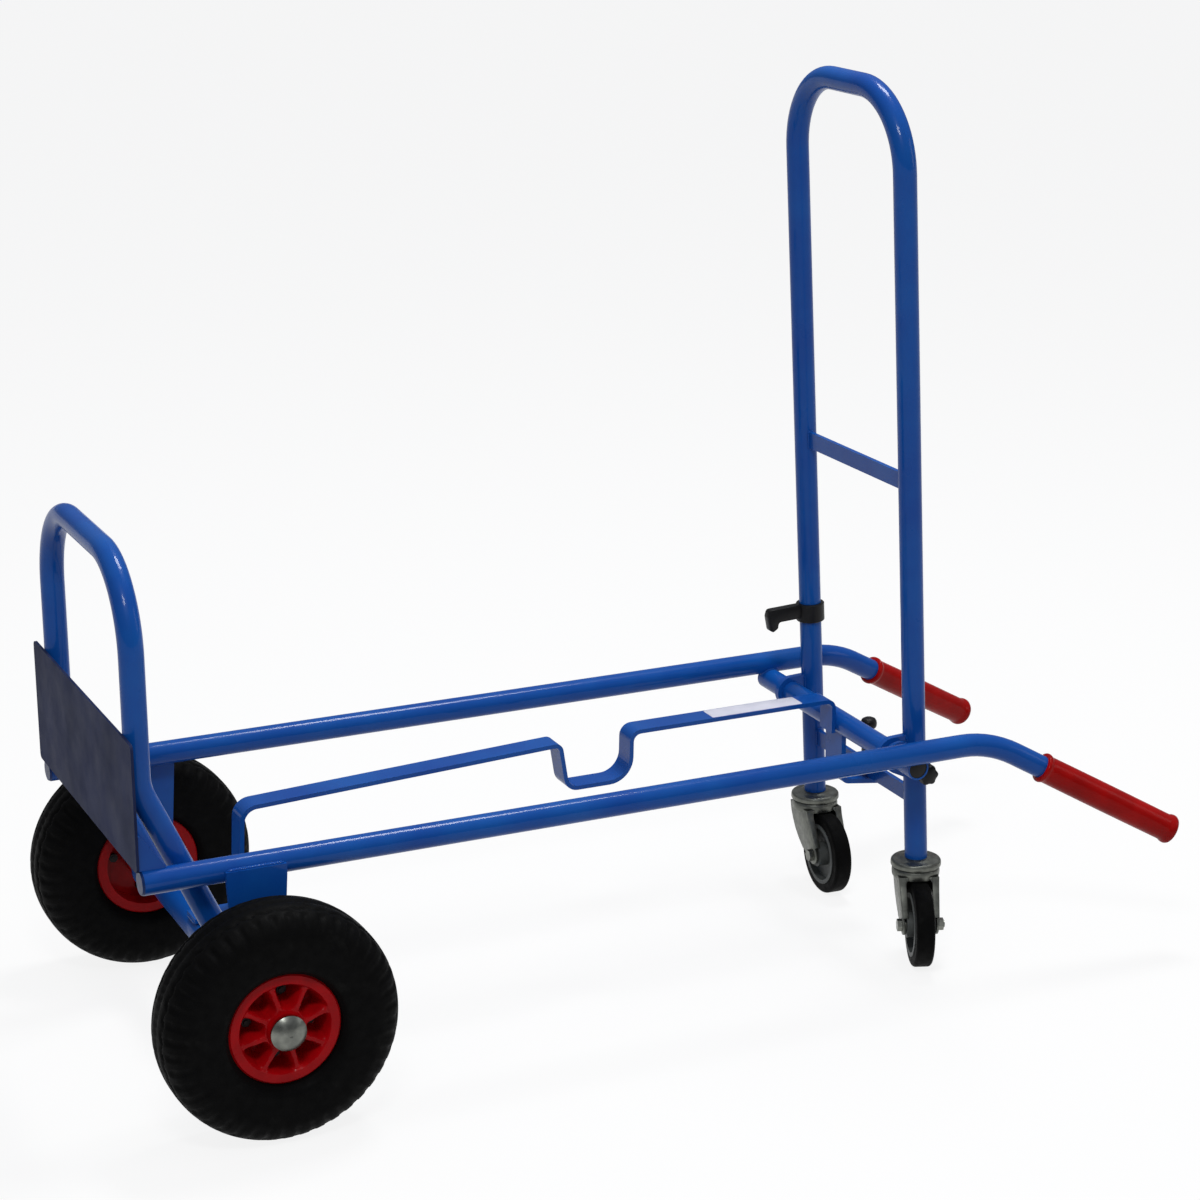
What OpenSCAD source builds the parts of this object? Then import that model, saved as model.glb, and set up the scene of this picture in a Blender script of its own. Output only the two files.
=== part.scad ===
// Hand truck: a tubular barrow on two pneumatic wheels. A push hoop with two swivel castors stands
// behind the deck, and folds forwards over it about a cross tube. Left is -Y and right is +Y.
// Heights are above the floor. The sizes along X are from the wheels' axle, and the whole model is
// then moved so that its origin is at the middle of its footprint on the floor.

/* [Wheels] */
// Diameter of the pneumatic wheels
wheel_d = 260; // [240:1:280]
// Width of the tyre
tyre_w = 85; // [76:1:92]
// Height of the tyre's section, from bead to tread
tyre_section_h = 84; // [78:1:88]
// Thickness of the rubber at the sides of the tyre
tyre_wall = 6.5; // [4:0.5:8]
// Thickness of the rubber under the tread
tread_t = 7; // [4:0.5:9]
// Diameter of the rim where the tyre's bead sits
bead_seat_d = 104; // [98:1:106]
// Outer diameter of the rim's flanges
rim_flange_d = 122; // [116:1:126]
// Thickness of the rim's flanges
rim_flange_t = 4; // [3:0.5:5]
// Width of the rim between its flanges
rim_w = 54; // [50:1:58]
// Thickness of the rim's barrel and disc
rim_t = 3; // [2:0.5:4]
// Number of ribs on the outer rim half
rim_ribs = 8; // [5:1:10]
// Thickness of a rim rib
rim_rib_t = 5; // [3:0.5:7]
// Angle of the first rib
rim_rib_phase = 15; // [0:1:45]
// Outer diameter of the rim's hub
rim_hub_d = 42; // [36:1:46]
// Number of bolts that hold the rim halves together
rim_bolts_n = 4; // [3:1:5]
// Diameter of the circle through the rim bolts
rim_bolt_circle = 70; // [60:1:80]
// Diameter of a rim bolt's shank
rim_bolt_d = 6; // [5:0.5:8]
// Length of the bush in the wheel's hub
hub_l = 75; // [68:1:80]
// Outer diameter of that bush
bush_d = 28; // [25:0.5:31]
// Wall of the inner tube
inner_tube_t = 2; // [1.5:0.5:3]
// Diameter of the valve's rubber stem
valve_d = 8; // [6:0.5:9]
// Length of the valve inside the rim
valve_l = 20; // [12:1:22]

/* [Axle] */
// Diameter of the wheels' axle
axle_d = 20; // [16:0.5:22]
// Outer diameter of the axle's beam
beam_d = 34; // [30:1:40]
// Thickness of the axle brackets
bracket_t = 5; // [4:0.5:8]
// Width of an axle bracket at the rail
bracket_w = 66; // [50:1:80]
// Diameter of the round lower end of an axle bracket
bracket_end_d = 48; // [40:1:56]
// Length of the spacer between the bracket and the wheel
spacer_l = 7.2; // [5:0.2:12]
// Outer diameter of the spacers and washers
spacer_d = 32; // [26:1:36]
// Thickness of the washer outside the wheel
washer_t = 2.5; // [1.5:0.5:4]
// Diameter of the axle's end cap
hub_cap_d = 39; // [34:1:42]
// Length of the axle's end cap
hub_cap_l = 10; // [8:0.5:14]

/* [Tubes] */
// Outer diameter of the frame's tubes
tube_d = 26.9; // [25:0.1:30]
// Wall of the frame's tubes
tube_wall = 2; // [1.5:0.1:3]
// Distance between the centres of the rails
rail_spacing = 376; // [360:1:390]
// Height of the rails' centres
rail_z = 278; // [272:1:290]
// Distance from the axle to the rails' front ends
rail_front = 118; // [112:1:120]
// Distance from the axle to the point where the handles bend down
handle_x = 899.5; // [880:0.5:930]
// Angle between the rails and the handles
handle_angle = 31.7; // [25:0.1:35]
// How far the handles splay outwards, as an angle from straight down
handle_splay = 21.6; // [15:0.1:25]
// Bend radius of the handles
handle_bend_r = 130; // [110:1:150]
// Length of a handle from its bend to its end
handle_l = 262; // [250:1:280]

/* [Grips] */
// Length of a grip
grip_l = 191; // [150:1:200]
// Diameter of a grip
grip_d = 33; // [31:0.5:36]
// Diameter of the collars at the ends of a grip
grip_collar_d = 36; // [33:0.5:40]
// Width of those collars
grip_collar_w = 5; // [3:0.5:8]
// Thickness of the grip's closed end
grip_end_t = 4; // [3:0.5:6]

/* [Toe] */
// Distance from the axle to the toe hoop's legs
toe_hoop_x = 108.5; // [106:0.5:110]
// Distance between the centres of the toe hoop's legs
toe_hoop_w = 316; // [300:1:318]
// Height of the toe hoop's top centreline
toe_hoop_top = 605; // [560:1:650]
// Bend radius of the toe hoop's corners
toe_hoop_r = 95; // [80:1:110]
// Height at which the toe hoop's legs bend back to the axle
toe_knee_z = 370; // [355:1:385]
// Bend radius of those knees
toe_knee_r = 60; // [50:1:80]
// Width of the toe plate
toe_plate_w = 394; // [380:1:400]
// Height of the toe plate
toe_plate_h = 140; // [120:1:160]
// Thickness of the toe plate
toe_plate_t = 3; // [2:0.5:4]
// Radius of the toe plate's corners
toe_plate_r = 6; // [3:1:12]
// Height of the gussets behind the toe plate
gusset_h = 40; // [30:1:50]
// Length of those gussets
gusset_l = 30; // [24:1:40]
// Thickness of those gussets
gusset_t = 4; // [3:0.5:6]

/* [Push hoop] */
// Distance between the centres of the push hoop's legs
hoop_w = 251; // [230:1:270]
// Height of the push hoop's top centreline
hoop_top = 1027; // [950:1:1060]
// Bend radius of the push hoop's corners
hoop_r = 90; // [75:1:105]
// Angle by which the push hoop leans forwards
hoop_lean = 2.7; // [2:0.1:3]
// Height of the middle of the upper crossbar
upper_bar_z = 582; // [560:1:590]
// Height of the middle of the lower crossbar
lower_bar_z = 197; // [196:1:205]
// Height of both crossbars
bar_h = 20; // [16:1:22]
// Thickness of both crossbars
bar_t = 5; // [4:0.5:6]

/* [Pivot] */
// Distance from the axle to the cross tube, about which the push hoop folds
pivot_x = 805; // [795:1:815]
// Height of the cross tube's centre
pivot_z = 258.5; // [256:0.5:262]
// Distance between the cross tube's centre and the line of the push hoop's legs
hoop_offset = 31; // [30:0.5:34]
// Diameter of the eyes that ride on the cross tube
eye_d = 39; // [36:1:41]
// Thickness of those eyes
eye_t = 8; // [6:0.5:10]

/* [Centre strap] */
// Width of the centre strap
strap_w = 30; // [26:1:36]
// Thickness of the centre strap
strap_t = 5; // [4:0.5:6]
// Height of the strap's underside over the dip that takes the folded crossbar
dip_z = 231; // [226:1:234]
// Length of the floor of that dip
dip_l = 81; // [76:1:90]
// Length of the blank label on the strap
label_l = 120; // [80:1:140]
// Width of the blank label
label_w = 27; // [20:1:27]

/* [Stop and lock] */
// Width of the stop bracket below the cross tube
stop_w = 40; // [30:1:50]
// Thickness of the stop bracket
stop_t = 6; // [5:0.5:7]
// Diameter of the lock's plunger pin
pin_d = 8; // [7:0.1:9]
// Travel of the plunger pin
pin_travel = 9; // [8:0.5:10]
// Outer diameter of the plunger's housing
plunger_d = 14; // [13.5:0.5:16]
// Thickness of the lug that carries the clamp knob
lug_t = 5; // [4:0.5:6]
// Diameter of the clamp knob
knob_d = 25; // [22:1:28]
// Length of the clamp knob
knob_l = 16; // [12:1:20]
// Diameter of the clamp knob's stud
stud_d = 8; // [6:0.5:8]
// Height of the hook clip's collar on the right leg
clip_h = 23; // [18:1:28]
// Height of the middle of that collar
clip_z = 360; // [350:1:400]

/* [Castors] */
// Height of a castor
castor_h = 122; // [120:1:126]
// Diameter of a castor's wheel
castor_wheel_d = 100; // [96:1:102]
// Width of a castor's tread
castor_tread_w = 22; // [20:1:26]
// Distance from a castor's king pin to its wheel's axle
castor_trail = 38; // [34:1:42]
// Diameter of a castor's swivel cap
castor_cap_d = 60; // [56:1:64]
// Height of a castor's swivel cap
castor_cap_h = 8; // [7:0.5:9]
// Diameter of a castor's king pin
king_pin_d = 12; // [10:0.5:14]
// Width between a castor fork's arms
fork_gap = 37; // [35:1:40]
// Thickness of a castor's fork
fork_t = 3; // [2.5:0.5:3.5]
// Diameter of a castor's wheel bolt
castor_bolt_d = 8; // [6:0.5:9]
// Direction in which the left castor trails
left_castor_heading = 249; // [0:1:360]
// Direction in which the right castor trails
right_castor_heading = 267; // [0:1:360]

/* [Fits] */
// Gap between pieces that are seated or welded together
seat = 0.05; // [0.05:0.01:0.1]
// Gap on the radius of a shaft that turns or slides
running = 0.08; // [0.05:0.01:0.1]
// Gap between neighbours that move past each other
clear = 0.3; // [0.3:0.05:0.6]

/* [Hidden] */
$fn = 64;
eps = 1; // how far a cutter reaches past what it cuts
bend_n = 10; // flats along each bend of a flat bar

// colours
paint = "#14509c";
slate = "#3c4155";
zinc = "#9a9c98";
black = "#1c1c1e";
red = "#b01a14";
tyre_black = "#232323";
core_grey = "#6c6f6d";

// tubes and their places
tube_r = tube_d / 2;
bore_d = tube_d - 2 * tube_wall;
rail_y = rail_spacing / 2;
rail_top = rail_z + tube_r;
toe_hoop_y = toe_hoop_w / 2;
hoop_y = hoop_w / 2;
axle_z = wheel_d / 2;

// places across the truck, from the rails outwards
bracket_y = rail_y + tube_r + seat;
wheel_in_y = bracket_y + bracket_t + spacer_l + clear;
wheel_y = wheel_in_y + hub_l / 2;
washer_y = wheel_in_y + hub_l + clear;
cap_y = washer_y + washer_t + seat;
axle_end_y = cap_y + hub_cap_l / 2;

// the wheel's own sizes, about its centre
bead_seat_r = bead_seat_d / 2;
rim_flange_r = rim_flange_d / 2;
tyre_r = wheel_d / 2 - tyre_section_h / 2;
tyre_power = 2.8;
cavity_top = wheel_d / 2 - tread_t;
cavity_bottom = bead_seat_r + 0.6;
cavity_r = (cavity_top + cavity_bottom) / 2;
cavity_h = (cavity_top - cavity_bottom) / 2;
cavity_w = tyre_w / 2 - tyre_wall;
bead_gap = 24; // width of the tyre's opening between its beads
valve_y = -7.5; // the valve's place across the wheel
// the valve stands midway between the first two rim bolts
valve_angle = 180 / rim_ribs - rim_rib_phase + 180 / rim_bolts_n;

// the handles' end, which sets the overall length
grip_start = handle_l - grip_l + grip_end_t + seat;
end_r = grip_collar_d / 2;
grip_edge_r = 3;
overall_back = handle_x + (handle_l + seat + grip_end_t - grip_edge_r) * cos(handle_angle)
    + (end_r - grip_edge_r) * sin(handle_angle) + grip_edge_r;
overall_front = -wheel_d / 2;
plug_t = 2.5; // wall and cap of the plugs in the rails' front ends
plug_l = 14;
origin_x = (overall_back + overall_front) / 2;

// the push hoop, in its own upright frame about the pivot
function hoop_s(z) = (z - pivot_z - hoop_offset * sin(hoop_lean)) / cos(hoop_lean);
hoop_top_s = hoop_s(hoop_top);
hoop_leg_end = hoop_s(castor_h) - 2 * tube_d;
upper_bar_s = hoop_s(upper_bar_z);
lower_bar_s = hoop_s(lower_bar_z);
castor_x = pivot_x + hoop_offset * cos(hoop_lean) - hoop_s(castor_h) * sin(hoop_lean);
pivot_bore_r = tube_r + running;

// the toe
toe_slope = atan(toe_hoop_x / (toe_knee_z - axle_z));
toe_back_x = -toe_hoop_x - tube_r - seat;
toe_front_x = toe_back_x - toe_plate_t;

// the centre strap, as the centreline of its thickness
strap_foot_z = axle_z + beam_d / 2 + seat + strap_t / 2;
dip_mid_z = dip_z + strap_t / 2;
dip_front_x = 438.5;
dip_back_x = dip_front_x + dip_l;
strap_top_z = rail_z + 12.5;
strap_end_x = pivot_x - tube_r - seat - strap_t / 2;
STRAP = [ // x, z and bend radius of each corner
    [-14, strap_foot_z, 0],
    [40, strap_foot_z, 10],
    [46, rail_z - 5.8, 18],
    [dip_front_x - 8.5, strap_top_z - 1.5, 8],
    [dip_front_x, dip_mid_z, 15],
    [dip_back_x, dip_mid_z, 28],
    [dip_back_x + 1.5, strap_top_z, 12],
    [strap_end_x, strap_top_z, 9],
    [strap_end_x, pivot_z - 8.5, 0],
];
label_x = 627;

// the stop bracket, as the centreline of its thickness
stop_x = pivot_x - 4.3;
stop_corner_z = 188;
foot_x = 856;
foot_drop = 7.8;
function foot_mid_z(x) = stop_corner_z - foot_drop * (x - stop_x) / (foot_x - stop_x);
STOP = [
    [stop_x, pivot_z - 8.5, 0],
    [stop_x, stop_corner_z, 9],
    [foot_x, stop_corner_z - foot_drop, 0],
];

// the plunger, in the push hoop's frame
plunger_u = hoop_offset + bar_t / 2 + seat + plunger_d / 2;
foot_top_s = hoop_s(foot_mid_z(castor_x)) + stop_t / 2 + 1.2;
pin_tip_s = foot_top_s + 1;
housing_s = lower_bar_s - bar_h / 2 - 1;
housing_l = 44;
collar_s = housing_s + 12;
collar_t = 3;
spring_d = plunger_d - 4;
spring_wire = 1.2;
spring_turns = 9;
knob_s = housing_s + housing_l + pin_travel + clear;
knob_h = 17;
knob_step = 4; // the clamp knob's bare hub behind its grip
knob_hub = 0.6; // hub's diameter as a share of the clamp knob's
rim_lip_r = rim_flange_r - 2;

// the clamp knob's stud meets the left leg at this height
stud_z = 236;
stud_s = hoop_s(stud_z);
stud_x = pivot_x + hoop_offset * cos(hoop_lean) - stud_s * sin(hoop_lean);
lug_y = -hoop_y - tube_r - 2 - lug_t;
lug_end_r = 13;

// the hook clip on the right leg
clip_s = hoop_s(clip_z);
clip_t = 4;
clip_arm = 59;

// a castor, about its king pin at floor level
cap_under = castor_h - castor_cap_h;
ball_d = 6;
ball_pitch_r = castor_cap_d / 2 - 8;
balls_n = 14;
crown_top = cap_under - ball_d - 0.2;
crown_t = 4;
crown_r = castor_cap_d / 2 - 3;
castor_axle_z = castor_wheel_d / 2;
arm_y = fork_gap / 2;
arm_end_r = 12; // round end of the fork's arm, around the axle
arm_drop = 22; // how far the arm's front edge runs straight down
castor_tread_t = 12; // rubber's thickness on the castor's core
castor_core_d = castor_wheel_d - 2 * castor_tread_t;
castor_bush_l = fork_gap - 2 * clear;
castor_bush_d = castor_bolt_d + 4;
nut_h = 6.5;
head_h = 5.5;

// ---- general shapes ----

// moves the whole truck so that the origin is at the middle of its footprint
module placed() {
    translate([-origin_x, 0, 0]) children();
}

// the children on both sides of the truck
module both_sides() {
    children();
    mirror([0, 1, 0]) children();
}

// a shape in the right side's place, mirrored to the left when side is -1
module on_side(side) {
    if (side > 0) children();
    else mirror([0, 1, 0]) children();
}

// a section that is carried along a bent line. It starts along +X; a step is
// [straight length, bend radius, bend angle towards +Y, roll about the line before the bend]
module bent(steps, i = 0) {
    if (i < len(steps)) {
        l = steps[i][0];
        r = steps[i][1];
        a = steps[i][2];
        rotate([90, 0, 90]) linear_extrude(l) children();
        translate([l, 0, 0]) rotate([steps[i][3], 0, 0]) {
            if (a > 0) translate([0, r, 0]) rotate([0, 0, -90])
                rotate_extrude(angle = a) translate([r, 0]) children();
            translate([r * sin(a), r * (1 - cos(a)), 0]) rotate([0, 0, a]) bent(steps, i + 1) children();
        }
    }
}

// a hollow tube along a bent line
module tube(steps) {
    difference() {
        bent(steps) circle(d = tube_d);
        translate([-eps, 0, 0]) bent([[steps[0][0] + eps, steps[0][1], steps[0][2], steps[0][3]],
            for (i = [1 : len(steps) - 1]) [steps[i][0] + (i == len(steps) - 1 ? eps : 0),
                steps[i][1], steps[i][2], steps[i][3]]]) circle(d = bore_d);
    }
}

// heading and turn of a bar's centreline, whose corners are [x, z, bend radius]
function heading(pts, i) = atan2(pts[i + 1][1] - pts[i][1], pts[i + 1][0] - pts[i][0]);
function wrap(a) = a > 180 ? a - 360 : a < -180 ? a + 360 : a;

// points along the side of a bar at a distance off to the left of its centreline, with round bends
function bar_side(pts, off) = [for (i = [0 : len(pts) - 1])
    let (last = len(pts) - 1, a0 = heading(pts, max(i - 1, 0)), a1 = heading(pts, min(i, last - 1)),
        sweep = wrap(a1 - a0), s = sweep < 0 ? -1 : 1, r = pts[i][2],
        reach = r * tan(abs(sweep) / 2), n = sweep == 0 ? 0 : bend_n,
        c = [pts[i][0] - reach * cos(a0) - s * r * sin(a0), pts[i][1] - reach * sin(a0) + s * r * cos(a0)])
    for (k = [0 : n]) let (a = a0 + (n == 0 ? 0 : sweep * k / n), q = s * r - off)
        [c[0] + q * sin(a), c[1] - q * cos(a)]];

// a flat bar of width w and thickness t, bent along its corners in the XZ plane
module flat_bar(pts, w, t) {
    side = bar_side(pts, -t / 2);
    back = bar_side(pts, t / 2);
    translate([0, w / 2, 0]) rotate([90, 0, 0]) linear_extrude(w)
        polygon(concat(side, [for (i = [len(back) - 1 : -1 : 0]) back[i]]));
}

// a hexagonal prism, h long and a across its flats
module hex(a, h) {
    cylinder(d = a / cos(30), h = h, $fn = 6);
}

// a cylinder along +Y
module rod_y(d, l) {
    rotate([-90, 0, 0]) cylinder(d = d, h = l);
}

// ---- places ----

// the line of the right handle, from its bend
module at_handle() {
    translate([handle_x, rail_y, rail_z]) rotate([handle_splay - 90, 0, 0])
        rotate([0, 0, handle_angle]) children();
}

// the push hoop's own frame: its legs stand at +X by hoop_offset, and the pivot is the origin
module at_hoop() {
    translate([pivot_x, 0, pivot_z]) rotate([0, -hoop_lean, 0]) children();
}

// a castor's frame: +X is the way it trails
module at_castor(side) {
    translate([castor_x, side * hoop_y, 0])
        rotate([0, 0, side > 0 ? right_castor_heading : left_castor_heading]) children();
}

// a castor wheel's frame: its axle is along Z
module at_castor_wheel(side) {
    at_castor(side) translate([castor_trail, 0, castor_axle_z]) rotate([-90, 0, 0]) children();
}

// a wheel's frame: Z runs along the axle, out of the truck, and X stays X
module at_wheel(side) {
    on_side(side) translate([0, wheel_y, axle_z]) rotate([-90, 0, 0]) children();
}

// ---- frame ----

module rail(side) {
    lead = handle_bend_r * tan(handle_angle / 2);
    color(paint) placed() on_side(side) translate([-rail_front, rail_y, rail_z])
        rotate([handle_splay - 90, 0, 0])
            tube([[rail_front + handle_x - lead, handle_bend_r, handle_angle, 0],
                [handle_l - lead, 0, 0, 0]]);
}

// the rubber grip, a closed sleeve with a collar at each end
module grip(side) {
    color(red) placed() on_side(side) at_handle() translate([grip_start, 0, 0]) rotate([0, 90, 0])
        difference() {
            union() {
                cylinder(d = grip_d, h = grip_l);
                cylinder(d = grip_collar_d, h = grip_collar_w);
                translate([0, 0, grip_l - grip_collar_w]) rotate_extrude() {
                    square([end_r, grip_collar_w - grip_edge_r]);
                    square([end_r - grip_edge_r, grip_collar_w]);
                    translate([end_r - grip_edge_r, grip_collar_w - grip_edge_r]) intersection() {
                        circle(r = grip_edge_r);
                        square(grip_edge_r);
                    }
                }
            }
            translate([0, 0, -eps]) cylinder(r = tube_r + seat, h = grip_l - grip_end_t + eps);
        }
}

// the closed plastic plugs in the rails' front ends
module rail_end_plugs() {
    color(black) placed() both_sides() translate([-rail_front, rail_y, rail_z]) rotate([0, -90, 0]) {
        translate([0, 0, seat]) cylinder(d1 = tube_d, d2 = tube_d - plug_t, h = plug_t);
        translate([0, 0, -plug_l]) difference() {
            cylinder(r = bore_d / 2 - seat, h = plug_l + 2 * seat);
            translate([0, 0, -eps]) cylinder(d = bore_d - 2 * plug_t, h = plug_l - plug_t + eps);
        }
    }
}

// one path up the left leg, over the top and down the right leg, bent back to the axle at both knees
module toe_hoop() {
    knee = toe_knee_r * tan(toe_slope / 2);
    lower = norm([toe_hoop_x, toe_knee_z - axle_z]) - knee;
    upper = toe_hoop_top - toe_knee_z - knee - toe_hoop_r;
    color(paint) placed() difference() {
        translate([0, -toe_hoop_y, axle_z]) rotate([0, -90 - toe_slope, 0])
            tube([[lower, toe_knee_r, toe_slope, -90], [upper, toe_hoop_r, 90, 90],
                [toe_hoop_w - 2 * toe_hoop_r, toe_hoop_r, 90, 0],
                [upper, toe_knee_r, toe_slope, -90], [lower, 0, 0, 0]]);
        translate([0, -rail_y, axle_z]) rod_y(beam_d + 2 * seat, rail_spacing);
    }
}

module toe_plate() {
    w = toe_plate_w / 2 - toe_plate_r;
    h = toe_plate_h / 2 - toe_plate_r;
    color(slate) placed() translate([toe_front_x, 0, rail_top + toe_plate_h / 2])
        rotate([90, 0, 90]) linear_extrude(toe_plate_t) {
            square([2 * w, toe_plate_h], center = true);
            square([toe_plate_w, 2 * h], center = true);
            for (x = [-w, w], y = [-h, h]) translate([x, y]) circle(toe_plate_r);
        }
}

// triangular webs between the toe plate and the top of each rail
module toe_gussets() {
    color(paint) placed() both_sides() difference() {
        translate([toe_back_x + seat, rail_y + gusset_t / 2, rail_top - 2]) rotate([90, 0, 0])
            linear_extrude(gusset_t)
                polygon([[0, 0], [gusset_l, 0], [gusset_l, gusset_t], [gusset_t, gusset_h], [0, gusset_h]]);
        translate([-rail_front - eps, rail_y, rail_z]) rotate([0, 90, 0])
            cylinder(r = tube_r + seat, h = 2 * gusset_l);
        translate([-rail_front - gusset_l, rail_y - tube_r, rail_z])
            cube([gusset_l + seat, tube_d, tube_r + seat]);
    }
}

// the side plates that carry the axle, welded to the outside of each rail
module axle_brackets() {
    top = rail_z - axle_z + 3;
    r = bracket_end_d / 2;
    // the plate's sides run straight from its top corners to the round end
    corner = [bracket_w / 2, top - 12];
    reach = norm(corner);
    a = atan2(corner[1], corner[0]) - acos(r / reach);
    touch = [r * cos(a), r * sin(a)];
    color(paint) placed() both_sides() translate([0, bracket_y + bracket_t, axle_z])
        rotate([90, 0, 0]) linear_extrude(bracket_t) difference() {
            union() {
                polygon([[-bracket_w / 2, top], [bracket_w / 2, top], corner, touch,
                    [-touch[0], touch[1]], [-corner[0], corner[1]]]);
                circle(r);
            }
            circle(axle_d / 2 + seat);
        }
}

// the axle's tube, between the brackets
module axle_beam() {
    color(paint) placed() translate([0, -bracket_y + seat, axle_z]) difference() {
        rod_y(beam_d, 2 * (bracket_y - seat));
        translate([0, -eps, 0]) rod_y(axle_d + 2 * seat, 2 * bracket_y + 2 * eps);
    }
}

module axle() {
    color(zinc) placed() translate([0, -axle_end_y, axle_z]) rod_y(axle_d, 2 * axle_end_y);
}

// the spacers inside the wheels and the washers outside them
module wheel_spacers() {
    color(zinc) placed() both_sides() translate([0, 0, axle_z]) {
        translate([0, bracket_y + bracket_t + seat, 0]) ring_y(spacer_d, axle_d + 2 * seat, spacer_l - seat);
        translate([0, washer_y, 0]) ring_y(spacer_d, axle_d + 2 * seat, washer_t);
    }
}

// a ring along +Y
module ring_y(outer, inner, l) {
    difference() {
        rod_y(outer, l);
        translate([0, -eps, 0]) rod_y(inner, l + 2 * eps);
    }
}

// the domed caps pressed on the axle's ends
module hub_caps() {
    skirt = 2;
    rise = hub_cap_l - skirt;
    r = (pow(hub_cap_d / 2, 2) + pow(rise, 2)) / (2 * rise);
    color(zinc) placed() both_sides() translate([0, cap_y, axle_z]) rotate([-90, 0, 0]) difference() {
        union() {
            cylinder(d = hub_cap_d, h = skirt);
            translate([0, 0, skirt]) intersection() {
                translate([0, 0, rise - r]) sphere(r, $fn = 96);
                cylinder(d = hub_cap_d, h = hub_cap_l);
            }
        }
        translate([0, 0, -eps]) cylinder(r = axle_d / 2 + seat, h = hub_cap_l / 2 + seat + eps);
    }
}

// the flat strap along the middle of the deck, with a dip for the folded crossbar
module centre_strap() {
    color(paint) placed() flat_bar(STRAP, strap_w, strap_t);
}

module blank_label() {
    color("white") placed() translate([label_x, -label_w / 2, strap_top_z + strap_t / 2])
        cube([label_l, label_w, 0.4]);
}

// the pivot tube under the rails, its ends cut to their round
module cross_tube() {
    color(paint) placed() difference() {
        translate([pivot_x, -rail_y, pivot_z]) ring_y(tube_d, bore_d, rail_spacing);
        both_sides() translate([pivot_x - tube_d, rail_y, rail_z]) rotate([0, 90, 0])
            cylinder(r = tube_r + seat, h = 2 * tube_d);
    }
}

// the pin's hole and the pin itself stand on this line of the push hoop
module at_plunger(s) {
    at_hoop() translate([plunger_u, 0, s]) children();
}

// the bent bar under the cross tube, whose foot takes the plunger's pin
module stop_bracket() {
    color(paint) placed() difference() {
        flat_bar(STOP, stop_w, stop_t);
        translate([pivot_x, -stop_w, pivot_z]) rod_y(tube_d + 2 * seat, 2 * stop_w);
        at_plunger(foot_top_s - 4 * stop_t) cylinder(r = pin_d / 2 + running, h = 6 * stop_t);
    }
}

// the lug on the cross tube that carries the clamp knob
module lock_lug() {
    dx = stud_x - pivot_x;
    dz = stud_z - pivot_z;
    l = norm([dx, dz]);
    r0 = tube_r + 6;
    lean = acos((r0 - lug_end_r) / l);
    color(paint) placed() translate([pivot_x, lug_y + lug_t, pivot_z]) rotate([90, 0, 0])
        linear_extrude(lug_t) rotate(atan2(dz, dx)) difference() {
            union() {
                circle(r0);
                translate([l, 0]) circle(lug_end_r);
                polygon([[r0 * cos(lean), r0 * sin(lean)], [r0 * cos(lean), -r0 * sin(lean)],
                    [l + lug_end_r * cos(lean), -lug_end_r * sin(lean)],
                    [l + lug_end_r * cos(lean), lug_end_r * sin(lean)]]);
            }
            circle(tube_r + seat);
            translate([l, 0]) circle(stud_d / 2 + running);
        }
}

// ---- clamp knob ----

// the lobed knob, outside the lug
module lock_knob() {
    color(black) placed() translate([stud_x, lug_y - clear, stud_z]) rotate([90, 0, 0]) difference() {
        union() {
            cylinder(d = knob_d * knob_hub, h = knob_l);
            translate([0, 0, knob_step]) cylinder(d = knob_d, h = knob_l - 1.5 * knob_step, $fn = 12);
        }
        translate([0, 0, -eps]) cylinder(r = stud_d / 2 + seat, h = knob_l - 3 + eps);
    }
}

module lock_stud() {
    tip = -hoop_y - tube_r - clear;
    back = lug_y - clear - knob_l + 3 + seat;
    color(zinc) placed() translate([stud_x, back, stud_z]) rod_y(stud_d, tip - back);
}

// ---- wheels ----

// outline of a tyre's section: a rounded box, hw wide each way and hh high each way
function round_box(hw, hh, p) = [for (a = [0 : 6 : 354])
    [hh * sign(cos(a)) * pow(abs(cos(a)), 2 / p), hw * sign(sin(a)) * pow(abs(sin(a)), 2 / p)]];

module tyre(side) {
    flange_r = rim_flange_r + 0.5;
    hw = rim_w / 2 - 0.2;
    color(tyre_black) placed() at_wheel(side) rotate_extrude() difference() {
        translate([tyre_r, 0]) polygon(round_box(tyre_w / 2, tyre_section_h / 2, tyre_power));
        translate([cavity_r, 0]) polygon(round_box(cavity_w, cavity_h, 2));
        translate([0, -tyre_w]) square([bead_seat_r + 0.3, 2 * tyre_w]);
        translate([0, -bead_gap / 2]) square([bead_seat_r + 4, bead_gap]);
        for (y = [hw, -hw - tyre_w]) translate([0, y]) square([flange_r, tyre_w]);
    }
}

module inner_tube(side) {
    color(black) placed() at_wheel(side) rotate_extrude() translate([cavity_r, 0]) difference() {
        polygon(round_box(cavity_w - 0.3, cavity_h - 0.3, 2));
        polygon(round_box(cavity_w - 0.3 - inner_tube_t, cavity_h - 0.3 - inner_tube_t, 2));
    }
}

// the valve's stem, from the inner tube through the inner rim half
module valve(side) {
    top = cavity_r - cavity_h + clear - seat;
    color(black) placed() at_wheel(side) rotate(valve_angle) translate([top, 0, valve_y]) rotate([0, -90, 0]) {
        cylinder(d = valve_d - 2, h = valve_l);
        cylinder(d = valve_d, h = valve_l - 7);
        translate([0, 0, valve_l - 5]) cylinder(d = valve_d - 1, h = 7);
    }
}

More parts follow.
